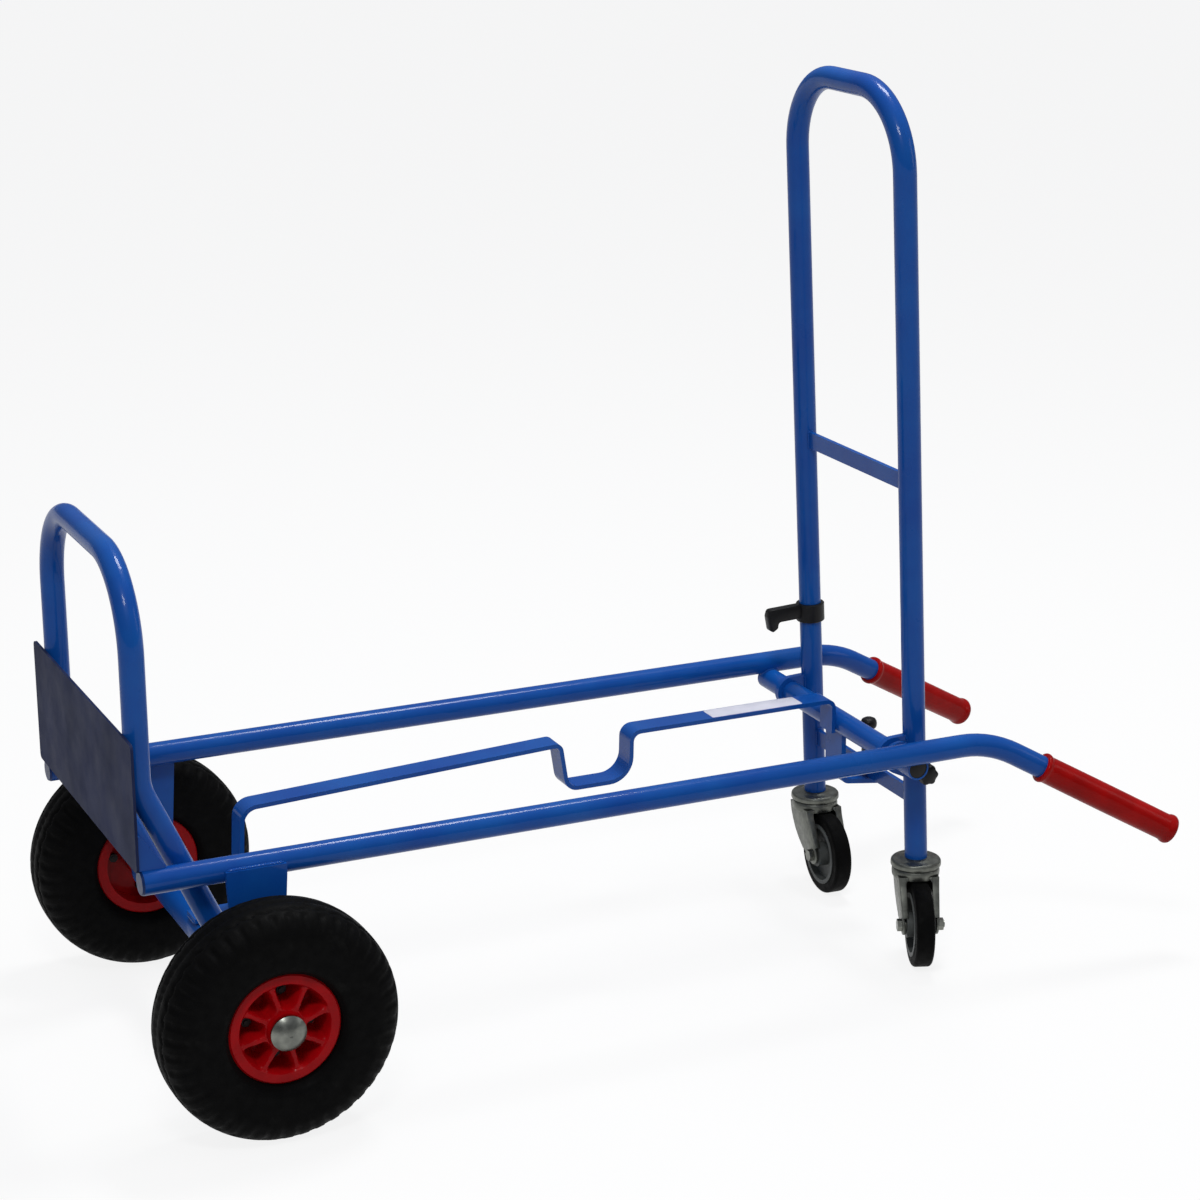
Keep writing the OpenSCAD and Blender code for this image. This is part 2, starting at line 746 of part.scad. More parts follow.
// half of the rim's turned outline, from the middle plane outwards
module rim_profile() {
    inside = bush_d / 2 + seat;
    barrel = bead_seat_r - rim_t;
    translate([inside, seat / 2]) square([bead_seat_r - inside, rim_t]);
    translate([barrel, seat / 2]) square([rim_t, rim_w / 2]);
    translate([barrel, rim_w / 2]) square([rim_lip_r - barrel, rim_flange_t]);
    translate([rim_lip_r, (rim_w + rim_flange_t) / 2]) circle(rim_flange_t / 2);
    translate([inside, seat / 2]) square([rim_hub_d / 2 - inside, hub_l / 2 - 0.5]);
}

// the rim bolts' places, each in the middle of a bay between two ribs
module at_rim_bolts() {
    for (i = [0 : rim_bolts_n - 1]) {
        bay = floor(i * rim_ribs / rim_bolts_n) + 0.5;
        rotate(bay * 360 / rim_ribs - rim_rib_phase) translate([rim_bolt_circle / 2, 0, 0]) children();
    }
}

// the outer rim half, ribbed between its hub and its barrel
module rim_outer(side) {
    inner = rim_hub_d / 2 - 1;
    outer = bead_seat_r - rim_t + 1;
    color(red) placed() at_wheel(side) difference() {
        union() {
            rotate_extrude() rim_profile();
            for (i = [0 : rim_ribs - 1]) rotate(-rim_rib_phase + i * 360 / rim_ribs)
                rotate([90, 0, 0]) translate([0, 0, -rim_rib_t / 2]) linear_extrude(rim_rib_t)
                    polygon([[inner, rim_t / 2], [outer, rim_t / 2], [outer, rim_w / 2 - 1],
                        [inner, hub_l / 2 - 5]]);
        }
        at_rim_bolts() cylinder(r = rim_bolt_d / 2 + seat, h = 4 * rim_t, center = true);
    }
}

module rim_inner(side) {
    color(red) placed() at_wheel(side) difference() {
        mirror([0, 0, 1]) rotate_extrude() rim_profile();
        at_rim_bolts() cylinder(r = rim_bolt_d / 2 + seat, h = 4 * rim_t, center = true);
        rotate(valve_angle) translate([0, 0, valve_y]) rotate([0, 90, 0])
            cylinder(r = valve_d / 2 + seat, h = bead_seat_r + eps);
    }
}

module rim_bolts(side) {
    under = rim_t + seat / 2 + seat;
    color(zinc) placed() at_wheel(side) at_rim_bolts() {
        translate([0, 0, -under - 5]) cylinder(d = rim_bolt_d, h = 2 * under + 5 + 6);
        translate([0, 0, under]) hex(1.6 * rim_bolt_d, 4);
        translate([0, 0, -under - 4]) hex(1.6 * rim_bolt_d, 4);
    }
}

module wheel_bush(side) {
    color(zinc) placed() at_wheel(side) difference() {
        cylinder(d = bush_d, h = hub_l, center = true);
        cylinder(r = axle_d / 2 + running, h = hub_l + 2 * eps, center = true);
    }
}

// ---- push hoop ----

module push_hoop() {
    leg = hoop_top_s - hoop_leg_end - hoop_r;
    color(paint) placed() difference() {
        at_hoop() difference() {
            translate([hoop_offset, -hoop_y, hoop_leg_end]) rotate([0, -90, 0])
                tube([[leg, hoop_r, 90, 0], [hoop_w - 2 * hoop_r, hoop_r, 90, 0], [leg, 0, 0, 0]]);
            // the hole for the hook clip's screw
            translate([hoop_offset, hoop_y, clip_s]) rod_y(4 + 2 * seat, tube_d);
        }
        // the legs end level, on the castors' caps
        translate([castor_x - 2 * tube_d, -hoop_w, castor_h + seat - 6 * tube_d])
            cube([4 * tube_d, 2 * hoop_w, 6 * tube_d]);
    }
}

// a flat bar between the legs, cut to their round
module crossbar(s) {
    color(paint) placed() at_hoop() difference() {
        translate([hoop_offset - bar_t / 2, -hoop_y, s - bar_h / 2]) cube([bar_t, hoop_w, bar_h]);
        for (y = [-hoop_y, hoop_y]) translate([hoop_offset, y, s - bar_h])
            cylinder(r = tube_r + seat, h = 2 * bar_h);
    }
}

// the eyes that join the legs to the cross tube
module hinge_eyes() {
    color(paint) placed() at_hoop() for (y = [-hoop_y, hoop_y]) translate([0, y, 0]) difference() {
        translate([0, -eye_t / 2, 0]) rotate([-90, 0, 0]) linear_extrude(eye_t) difference() {
            union() {
                circle(d = eye_d);
                translate([0, -eye_d / 2]) square([hoop_offset, eye_d]);
            }
            circle(pivot_bore_r);
        }
        translate([hoop_offset, 0, -eye_d]) cylinder(r = tube_r + seat, h = 2 * eye_d);
        translate([hoop_offset, -eye_t, -eye_d]) cube([tube_d, 2 * eye_t, 2 * eye_d]);
    }
}

// the plastic clip on the right leg: a collar and an arm with a hooked tip
module hook_clip() {
    w = 12;
    color(black) placed() at_hoop() translate([hoop_offset, hoop_y, clip_s]) difference() {
        union() {
            translate([0, 0, -clip_h / 2]) cylinder(r = tube_r + seat + clip_t, h = clip_h);
            translate([0, w / 2, 0]) rotate([90, 0, 0]) linear_extrude(w)
                polygon([[0, clip_h / 2], [-clip_arm, clip_h / 2], [-clip_arm - 2, 4], [-clip_arm, -14],
                    [-clip_arm + 6, -17], [-clip_arm + 12, -13], [-clip_arm + 13, -6], [0, -6]]);
        }
        translate([0, 0, -clip_h]) cylinder(r = tube_r + seat, h = 2 * clip_h);
        rod_y(4 + 2 * seat, tube_d);
    }
}

module hook_screw() {
    head_y = tube_r + seat + clip_t + seat;
    color(zinc) placed() at_hoop() translate([hoop_offset, hoop_y, clip_s]) {
        translate([0, tube_r - tube_wall - 4, 0]) rod_y(4, tube_wall + 8 + 2 * seat);
        translate([0, head_y, 0]) rod_y(8, 2.5);
    }
}

// ---- plunger lock ----

// the turned housing beside the lower crossbar: a guide below and a spring chamber above
module plunger_housing() {
    color(zinc) placed() at_plunger(housing_s) difference() {
        union() {
            cylinder(d = plunger_d, h = housing_l);
            translate([0, 0, bar_h + 2]) hex(plunger_d + 5, 8);
        }
        translate([0, 0, -eps]) cylinder(r = pin_d / 2 + running, h = housing_l);
        translate([0, 0, collar_s - housing_s - pin_travel - clear])
            cylinder(d = spring_d + 0.6, h = housing_l - (collar_s - housing_s) + pin_travel + clear - 3);
        cylinder(r = pin_d / 4 + 0.5 + running, h = housing_l + eps);
    }
}

// the pin, with the collar that its spring pushes on, drawn up out of the foot's hole
module plunger_pin() {
    color(zinc) placed() {
        at_plunger(pin_tip_s) {
            cylinder(d1 = pin_d - 2, d2 = pin_d, h = 1.5);
            translate([0, 0, 1.5]) cylinder(d = pin_d, h = collar_s - pin_tip_s);
        }
        at_plunger(collar_s) cylinder(d = spring_d, h = collar_t);
        at_plunger(collar_s) cylinder(d = pin_d / 2 + 1, h = knob_s + knob_h - 5 - collar_s);
    }
}

// the spring over the pin, wound from its collar to the top of the housing
module plunger_spring() {
    low = collar_s + collar_t + seat + spring_wire / 2;
    high = housing_s + housing_l - 3 - seat - spring_wire / 2;
    r = (spring_d - spring_wire) / 2 - 0.1;
    n = 14;
    sides = 6;
    rings = spring_turns * n;
    points = [for (i = [0 : rings], j = [0 : sides - 1])
        let (a = 360 * i / n, b = 360 * j / sides, q = r + spring_wire / 2 * cos(b))
        [q * cos(a), q * sin(a), low + (high - low) * i / rings + spring_wire / 2 * sin(b)]];
    faces = [for (i = [0 : rings - 1], j = [0 : sides - 1])
        [i * sides + j, (i + 1) * sides + j, (i + 1) * sides + (j + 1) % sides, i * sides + (j + 1) % sides]];
    first = [for (j = [0 : sides - 1]) j];
    last = [for (j = [sides - 1 : -1 : 0]) rings * sides + j];
    color(zinc) placed() at_plunger(0) polyhedron(points, concat(faces, [first, last]), convexity = 10);
}

module plunger_knob() {
    color(black) placed() at_plunger(knob_s) difference() {
        rotate_extrude() {
            square([plunger_d / 2 - 1, knob_h]);
            translate([0, 5]) square([plunger_d / 2 + 3, knob_h - 7]);
            translate([0, 3]) square([plunger_d / 2 + 1, knob_h - 3]);
        }
        translate([0, 0, -eps]) cylinder(r = (pin_d / 2 + 1) / 2 + seat, h = knob_h - 5 + seat + eps);
    }
}

// ---- castors ----

// the swivel cap under a leg, with the king pin and its riveted head
module castor_cap(side) {
    head_r = king_pin_d / 2 + 4;
    under_crown = crown_top - crown_t - 0.2;
    color(zinc) placed() at_castor(side) {
        difference() {
            translate([0, 0, cap_under]) cylinder(d = castor_cap_d, h = castor_cap_h - 3);
            translate([0, 0, cap_under - eps]) cylinder(r = crown_r + 1, h = 1 + eps);
        }
        translate([0, 0, castor_h - 3]) cylinder(d1 = castor_cap_d, d2 = castor_cap_d - 12, h = 3);
        translate([0, 0, under_crown - 3]) cylinder(d = king_pin_d, h = castor_h - under_crown);
        translate([0, 0, under_crown - 4]) cylinder(r = head_r, h = 4);
    }
}

module castor_balls(side) {
    color(zinc) placed() at_castor(side) for (i = [0 : balls_n - 1]) rotate(i * 360 / balls_n)
        translate([ball_pitch_r, 0, crown_top + ball_d / 2 + 0.1]) sphere(d = ball_d, $fn = 24);
}

// one arm of the fork, from its crown back to the wheel's axle, as seen from the side
module fork_arm() {
    top = crown_top - crown_t / 2;
    linear_extrude(fork_t) difference() {
        union() {
            polygon([[-crown_r + 5, top], [crown_r - 1, top], [castor_trail + arm_end_r, castor_axle_z],
                [castor_trail - arm_end_r, castor_axle_z], [-crown_r + 7, top - arm_drop]]);
            translate([castor_trail, castor_axle_z]) circle(arm_end_r);
        }
        translate([castor_trail, castor_axle_z]) circle(castor_bolt_d / 2 + seat);
    }
}

module castor_fork(side) {
    color(zinc) placed() at_castor(side) {
        difference() {
            union() {
                translate([0, 0, crown_top - crown_t]) cylinder(r = crown_r, h = crown_t);
                translate([-crown_r + 5, -arm_y - fork_t, crown_top - crown_t])
                    cube([2 * crown_r - 10, fork_gap + 2 * fork_t, crown_t - 0.5]);
            }
            translate([0, 0, crown_top - 2 * crown_t])
                cylinder(r = king_pin_d / 2 + running, h = 4 * crown_t);
        }
        for (y = [-arm_y, arm_y + fork_t]) translate([0, y, 0]) rotate([90, 0, 0]) fork_arm();
    }
}

// the wheel's bolt, its head outside the fork's left arm
module castor_bolt(side) {
    half = arm_y + fork_t + seat;
    color(zinc) placed() at_castor_wheel(side) {
        translate([0, 0, -half]) cylinder(d = castor_bolt_d, h = 2 * half + nut_h + 1.5);
        translate([0, 0, -half - head_h]) hex(1.625 * castor_bolt_d, head_h);
    }
}

module castor_nut(side) {
    color(zinc) placed() at_castor_wheel(side) translate([0, 0, arm_y + fork_t + seat]) difference() {
        hex(1.625 * castor_bolt_d, nut_h);
        translate([0, 0, -eps]) cylinder(r = castor_bolt_d / 2 + seat, h = nut_h + 2 * eps);
    }
}

// the rubber tread, rounded at its shoulders
module castor_tyre(side) {
    corner = 4;
    hw = castor_tread_w / 2;
    r0 = castor_core_d / 2 + seat;
    r1 = castor_wheel_d / 2;
    color(tyre_black) placed() at_castor_wheel(side) rotate_extrude() {
        translate([r0, -hw]) square([r1 - corner - r0, 2 * hw]);
        translate([r0, -hw + corner]) square([r1 - r0, 2 * hw - 2 * corner]);
        for (y = [-hw + corner, hw - corner]) translate([r1 - corner, y]) circle(corner);
    }
}

module castor_core(side) {
    r1 = castor_core_d / 2;
    r0 = castor_bush_d / 2 + seat;
    hub_r = 15;
    hub_hw = castor_bush_l / 2 - 1.5;
    rim_hw = castor_tread_w / 2 + 1;
    color(core_grey) placed() at_castor_wheel(side) rotate_extrude() {
        translate([r0, -hub_hw]) square([hub_r - r0, 2 * hub_hw]);
        translate([r0, -4]) square([r1 - r0, 8]);
        translate([r1 - 5, -rim_hw]) square([5, 2 * rim_hw]);
    }
}

module castor_bush(side) {
    color(zinc) placed() at_castor_wheel(side) difference() {
        cylinder(d = castor_bush_d, h = castor_bush_l, center = true);
        cylinder(r = castor_bolt_d / 2 + running, h = castor_bush_l + 2 * eps, center = true);
    }
}

rail(-1);  // left_rail
rail(1);  // right_rail
toe_plate();
toe_gussets();
toe_hoop();
axle_brackets();
axle_beam();
axle();
centre_strap();
cross_tube();
stop_bracket();
lock_lug();
grip(-1);  // left_grip
grip(1);  // right_grip
blank_label();
rail_end_plugs();
wheel_spacers();
hub_caps();
tyre(-1);  // left_tyre
inner_tube(-1);  // left_inner_tube
valve(-1);  // left_valve
rim_outer(-1);  // left_rim_outer
rim_inner(-1);  // left_rim_inner
rim_bolts(-1);  // left_rim_bolts
wheel_bush(-1);  // left_wheel_bush
tyre(1);  // right_tyre
inner_tube(1);  // right_inner_tube
valve(1);  // right_valve
rim_outer(1);  // right_rim_outer
rim_inner(1);  // right_rim_inner
rim_bolts(1);  // right_rim_bolts
wheel_bush(1);  // right_wheel_bush
push_hoop();
crossbar(upper_bar_s);  // upper_crossbar
crossbar(lower_bar_s);  // lower_crossbar
hinge_eyes();
hook_clip();
hook_screw();
castor_cap(-1);  // left_castor_cap
castor_cap(1);  // right_castor_cap
plunger_housing();
plunger_pin();
plunger_spring();
plunger_knob();
lock_knob();
lock_stud();
castor_fork(-1);  // left_castor_fork
castor_balls(-1);  // left_castor_balls
castor_bolt(-1);  // left_castor_bolt
castor_nut(-1);  // left_castor_nut
castor_tyre(-1);  // left_castor_tyre
castor_core(-1);  // left_castor_core
castor_bush(-1);  // left_castor_bush
castor_fork(1);  // right_castor_fork
castor_balls(1);  // right_castor_balls
castor_bolt(1);  // right_castor_bolt
castor_nut(1);  // right_castor_nut
castor_tyre(1);  // right_castor_tyre
castor_core(1);  // right_castor_core
castor_bush(1);  // right_castor_bush
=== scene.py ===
"""Hand truck: the visual model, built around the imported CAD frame."""

import math

import bmesh
import bpy
from bpy.props import FloatProperty, FloatVectorProperty, IntProperty, PointerProperty
from mathutils import Matrix, Vector


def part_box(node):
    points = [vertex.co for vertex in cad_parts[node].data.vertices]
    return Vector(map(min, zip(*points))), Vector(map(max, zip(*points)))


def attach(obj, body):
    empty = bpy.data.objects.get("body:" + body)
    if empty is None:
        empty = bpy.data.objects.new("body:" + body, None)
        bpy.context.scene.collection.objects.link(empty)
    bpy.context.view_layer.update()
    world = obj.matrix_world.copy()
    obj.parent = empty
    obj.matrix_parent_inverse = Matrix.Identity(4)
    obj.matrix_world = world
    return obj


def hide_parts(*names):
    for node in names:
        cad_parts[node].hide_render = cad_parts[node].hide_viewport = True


bl_info = {
    "name": "Hand Truck",
    "version": (1, 0, 0),
    "blender": (4, 5, 0),
    "location": "View3D > Sidebar > Hand Truck",
    "description": "Builds the hand truck's looks around its CAD frame",
    "category": "Object",
}

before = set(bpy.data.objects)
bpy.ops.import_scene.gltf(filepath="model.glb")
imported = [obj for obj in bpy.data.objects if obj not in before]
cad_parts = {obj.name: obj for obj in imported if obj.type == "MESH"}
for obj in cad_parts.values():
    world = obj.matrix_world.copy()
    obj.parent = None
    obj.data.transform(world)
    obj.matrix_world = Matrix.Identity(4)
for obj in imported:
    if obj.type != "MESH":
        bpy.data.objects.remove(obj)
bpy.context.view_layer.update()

MM = 0.001
ORIGIN_X = 502.094  # mm from the axle back to the row frame's origin
SIDES = (("left", -1), ("right", 1))

# places of the CAD, in mm. X is from the axle, and Z from the floor
TUBE_R = 13.45  # radius of the rails and of both hoops' tube
FIT = 0.05  # gap between that tube and what is pushed over it
RAIL_Y, RAIL_Z = 188.0, 278.0  # the middle of a rail
AXLE_Z = 130.0
HANDLE_X = 899.5  # where a rail bends into its handle
HANDLE_ANGLE = math.radians(31.7)
HANDLE_SPLAY = math.radians(21.6)
GRIP_START, GRIP_L = 75.05, 191.0  # a grip, down the handle from its bend
PIVOT = (805.0, 258.5)  # X and Z of the line that the push hoop folds about
HOOP_LEAN = math.radians(2.7)  # towards the toe plate
HOOP_OFFSET = 31.0  # the legs' middle, past the pivot
HOOP_Y = 125.5
CROSSBAR_Z = (582.0, 197.0)  # the push hoop's upper and lower crossbar
CLIP_Z = 360.0
PLUNGER_OFFSET = 40.55  # the plunger's middle, past the pivot
CASTOR_H = 122.0
CASTOR_HEADINGS = {"left": math.radians(249), "right": math.radians(267)}


# ---- sizes and looks that a user may change ----


def length(name, mm, text, **more):
    """A length in the panel, its default given in millimetres."""
    return FloatProperty(name=name, description=text, default=mm * MM, unit="LENGTH", **more)


class HT_Shape(bpy.types.PropertyGroup):
    """Sizes of what Blender shapes."""

    groove_depth: length("Groove Depth", 2.2, "Depth of the grooves around a tyre's tread")
    groove_width: length("Groove Width", 3.2, "Width of a groove around a tyre's tread")
    lug_depth: length("Lug Depth", 2.4, "Depth of the notches between a tyre's shoulder lugs")
    lugs: IntProperty(name="Lugs", description="Shoulder lugs around a tyre", default=44, min=8)
    rib_width: length("Rib Width", 4.0, "Width of a rib of the rims at its top")
    rib_fillet: length("Rib Fillet", 6.5, "Run of a pocket's wall beside a rib")
    weld_radius: length("Weld Radius", 2.2, "Radius of a weld bead")
    weld_ripple: length("Weld Ripple", 3.4, "Spacing of the ripples along a weld bead")
    label_corner: length("Label Corner", 2.5, "Radius of the label's corners")


class HT_Finish(bpy.types.PropertyGroup):
    """How worn and how glossy the surfaces are."""

    orange_peel: length("Orange Peel", 0.04, "Height of the waves in the sprayed paint", precision=5)
    dust: FloatProperty(
        name="Dust", description="Share of pale dust on the tyres", default=0.35,
        min=0.0, max=1.0, subtype="FACTOR",
    )
    paint_gloss: FloatProperty(
        name="Paint Gloss", description="Weight of the clear gloss over the paint", default=0.2,
        min=0.0, max=1.0, subtype="FACTOR",
    )


class HT_Stage(bpy.types.PropertyGroup):
    """The camera and the lights."""

    camera_place: FloatVectorProperty(
        name="Camera Place", description="Where the camera stands",
        default=(-1.360217, -2.957019, 1.434357), unit="LENGTH", subtype="TRANSLATION",
    )
    yaw: FloatProperty(
        name="Yaw", description="Camera's heading from +Y towards +X",
        default=math.radians(24.4683), subtype="ANGLE",
    )
    pitch: FloatProperty(
        name="Pitch", description="Camera's tilt up from level",
        default=math.radians(-16.8143), subtype="ANGLE",
    )
    roll: FloatProperty(
        name="Roll", description="Camera's turn about its own line of sight",
        default=math.radians(0.2898), subtype="ANGLE",
    )
    lens: FloatProperty(
        name="Lens", description="Focal length on a 36 mm sensor",
        default=88.6, unit="CAMERA", subtype="DISTANCE_CAMERA",
    )
    lamp_power: FloatProperty(
        name="Lamp Power", description="Power of the main softbox", default=50.0, unit="POWER",
    )
    sky_level: FloatProperty(
        name="Sky Level", description="Brightness of the soft light from above", default=0.55,
        min=0.0, subtype="FACTOR",
    )


def settings(group):
    """One of this add-on's groups of values."""
    return getattr(bpy.context.scene, "ht_" + group)


# ---- materials ----


def linear(text):
    """A colour written as sRGB hex, turned linear."""
    parts = [int(text[i : i + 2], 16) / 255 for i in (1, 3, 5)]
    return tuple(c / 12.92 if c <= 0.04045 else ((c + 0.055) / 1.055) ** 2.4 for c in parts) + (1.0,)


def add(tree, kind, inputs=None, **options):
    """Adds a node, with its options, its constants and the sockets that feed it."""
    made = tree.nodes.new(kind)
    for key, value in options.items():
        setattr(made, key, value)
    for key, value in (inputs or {}).items():
        if isinstance(value, bpy.types.NodeSocket):
            tree.links.new(value, made.inputs[key])
        else:
            made.inputs[key].default_value = value
    return made


def grain(tree, place, size_mm, detail=3.0):
    """Noise whose lumps are about size_mm across."""
    inputs = {"Vector": place, "Scale": 1 / (size_mm * MM), "Detail": detail, "Roughness": 0.55}
    return add(tree, "ShaderNodeTexNoise", inputs).outputs["Fac"]


def ranged(tree, value, low, high, out_low, out_high):
    """value's range from low to high, mapped to out_low to out_high."""
    inputs = {0: value, 1: low, 2: high, 3: out_low, 4: out_high}
    return add(tree, "ShaderNodeMapRange", inputs).outputs[0]


def mixed(tree, share, first, second):
    """A mix of two colours."""
    made = add(tree, "ShaderNodeMix", {"Factor": share}, data_type="RGBA")
    for key, value in ((6, first), (7, second)):
        if isinstance(value, bpy.types.NodeSocket):
            tree.links.new(value, made.inputs[key])
        else:
            made.inputs[key].default_value = value
    return made.outputs[2]


def finish(name, colours, patch_mm, rough, bump_mm=0.0, bump_size_mm=1.0, sharp=(0.35, 0.65),
           shader=None):
    """A surface that drifts between two colours, in patches of about patch_mm.

    rough is its lowest and highest roughness. bump_mm is how high its fine grain stands. sharp is the
    part of the noise over which the colour changes. shader holds constants of the shader's own.
    """
    made = bpy.data.materials.new(name)
    made.use_nodes = True
    tree = made.node_tree
    shade = tree.nodes["Principled BSDF"]
    place = add(tree, "ShaderNodeTexCoord").outputs["Object"]
    patches = grain(tree, place, patch_mm)
    share = ranged(tree, patches, *sharp, 0.0, 1.0)
    colour = mixed(tree, share, linear(colours[0]), linear(colours[1]))
    tree.links.new(colour, shade.inputs["Base Color"])
    cloud = grain(tree, place, patch_mm * 0.4, detail=4.0)
    tree.links.new(ranged(tree, cloud, 0.3, 0.7, *rough), shade.inputs["Roughness"])
    if bump_mm:
        height = grain(tree, place, bump_size_mm, detail=2.0)
        inputs = {"Strength": 1.0, "Distance": bump_mm * MM, "Height": height}
        bump = add(tree, "ShaderNodeBump", inputs)
        tree.links.new(bump.outputs[0], shade.inputs["Normal"])
    for key, value in (shader or {}).items():
        shade.inputs[key].default_value = value
    return made


def make_finishes():
    """Every finish, by the record's slot, and the plugs' own, and the bolts' own, which is darkened to
    paint the shade in the rims' pockets.
    """
    peel = settings("finish").orange_peel / MM
    gloss = settings("finish").paint_gloss
    dust = settings("finish").dust
    coat = {"Coat Weight": gloss, "Coat Roughness": 0.05, "Specular IOR Level": 0.08}
    return {
        # a royal blue with a wet gloss, a little uneven in wide patches
        "blue_powder_coat": finish(
            "gloss_blue_enamel", ("#0d479a", "#1153a4"), 90, (0.26, 0.36), peel, 2.5, shader=coat),
        # the toe plate's greyer and flatter blue
        "slate_powder_coat": finish(
            "scuffed_slate_enamel", ("#1e2644", "#283052"), 90, (0.5, 0.62), peel, 2.0,
            shader={"Specular IOR Level": 0.04}),
        # shiny red rubber, slightly darker in patches
        "red_rubber": finish(
            "glossy_red_grip_rubber", ("#a60806", "#920705"), 40, (0.3, 0.42), 0.03, 0.8,
            shader={"Specular IOR Level": 0.06, "Coat Weight": 0.1, "Coat Roughness": 0.12}),
        # smooth white film with a touch of lavender
        "label_film": finish(
            "white_label_film", ("#dcdce8", "#d2d3e0"), 30, (0.35, 0.45)),
        # black moulded plastic, fine grained
        "black_plastic": finish(
            "black_moulded_plastic", ("#0c0c0d", "#121213"), 12, (0.34, 0.46), 0.03, 0.5,
            shader={"Specular IOR Level": 0.2}),
        # bright plated steel with a fine cloudy sheen
        "bright_zinc": finish(
            "bright_zinc_plate", ("#80827b", "#686a65"), 14, (0.26, 0.4), 0.012, 0.9,
            shader={"Metallic": 1.0}),
        # duller galvanised sheet, cloudy grey
        "zinc_sheet": finish(
            "dull_zinc_sheet", ("#74766f", "#5c5e59"), 11, (0.34, 0.48), 0.02, 1.2,
            shader={"Metallic": 0.9}),
        # near-black rubber with pale dust in patches on it
        "tyre_rubber": finish(
            "dusty_tyre_rubber", ("#050505", "#1e1e1d"), 26, (0.55, 0.75), 0.12, 1.4,
            sharp=(0.75 - 0.3 * dust, 1.0), shader={"Specular IOR Level": 0.06}),
        # red gloss paint over moulded plastic, slightly darker in patches
        "red_rim": finish(
            "gloss_red_rim_paint", ("#b0060e", "#9c050c"), 22, (0.3, 0.4), 0.03, 1.6,
            shader={"Coat Weight": 0.1, "Coat Roughness": 0.12, "Specular IOR Level": 0.06}),
        # plain grey moulded nylon
        "grey_plastic": finish(
            "grey_moulded_nylon", ("#565957", "#4b4e4c"), 15, (0.42, 0.55), 0.03, 0.7,
            shader={"Specular IOR Level": 0.2}),
        # blackened steel as painted shade: the bolts down in the rims' pockets are darkened to paint
        # the pockets' shade
        "dark_steel": finish(
            "blackened_bolt_steel", ("#1c1a1a", "#262222"), 6, (0.5, 0.62), 0.01, 0.6,
            shader={"Metallic": 0.5}),
        # dark blue plastic, close to the paint beside it
        "plug": finish("dark_blue_plug_plastic", ("#0a2c66", "#082452"), 12, (0.35, 0.45),
                       shader={"Specular IOR Level": 0.2}),
    }


finishes = {}  # filled by the paint step

# the finish of each CAD node, with left_ and right_ left off: the rest are in blue paint
NODE_SLOTS = {
    "toe_plate": "slate_powder_coat",
    "rail_end_plugs": "plug",
    "castor_tyre": "tyre_rubber",
    "inner_tube": "tyre_rubber",
    "valve": "tyre_rubber",
    "rim_inner": "red_rim",
    "castor_core": "grey_plastic",
    # the rims' bolts get steel darkened as painted shade of the pockets they sit in
    "rim_bolts": "dark_steel",
}
ZINC_NODES = (
    "axle", "wheel_spacers", "hub_caps", "wheel_bush", "hook_screw", "plunger_housing",
    "plunger_pin", "plunger_spring", "lock_stud", "castor_balls", "castor_bolt", "castor_nut",
    "castor_bush",
)


# ---- building shapes ----


def at(x, y, z):
    """A point in mm from the axle, in the row frame in metres."""
    return Vector(((x - ORIGIN_X) * MM, y * MM, z * MM))


def mirrored(side):
    """The reflection that makes the left piece from the right one."""
    return Matrix.Diagonal((1.0, float(side), 1.0, 1.0))


def wheel_frame(node):
    """A wheel's frame: Z runs outwards along the axle and X stays X."""
    lo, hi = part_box(node)
    centre = (lo + hi) / 2
    side = 1 if centre.y > 0 else -1
    return Matrix.Translation(centre) @ mirrored(side) @ Matrix.Rotation(-math.pi / 2, 4, "X")


def handle_frame(side):
    """A handle's frame: Z runs down it from its bend."""
    turn = Matrix.Rotation(HANDLE_SPLAY - math.pi / 2, 4, "X") @ Matrix.Rotation(HANDLE_ANGLE, 4, "Z")
    place = Matrix.Translation(at(HANDLE_X, RAIL_Y, RAIL_Z))
    return mirrored(side) @ place @ turn @ Matrix.Rotation(math.pi / 2, 4, "Y")


def hoop_frame(u, y, s):
    """The push hoop's leaning frame, at a place in it in mm."""
    turn = Matrix.Translation(at(PIVOT[0], 0, PIVOT[1])) @ Matrix.Rotation(-HOOP_LEAN, 4, "Y")
    return turn @ Matrix.Translation(Vector((u, y, s)) * MM)


def hoop_s(z):
    """How far along the leg a height is."""
    return (z - PIVOT[1] - HOOP_OFFSET * math.sin(HOOP_LEAN)) / math.cos(HOOP_LEAN)


def castor_frame(name):
    """A castor's frame: +X is the way it trails."""
    x = PIVOT[0] + HOOP_OFFSET * math.cos(HOOP_LEAN) - hoop_s(CASTOR_H) * math.sin(HOOP_LEAN)
    side = dict(SIDES)[name]
    return Matrix.Translation(at(x, side * HOOP_Y, 0)) @ Matrix.Rotation(CASTOR_HEADINGS[name], 4, "Z")


def eased(value, low, high):
    """0 below low, 1 above high, and smooth between."""
    t = min(max((value - low) / (high - low), 0.0), 1.0)
    return t * t * (3 - 2 * t)


MERGE_GAP = 2e-7  # points closer than this, in metres, become one
BEAD_SIDES = 8


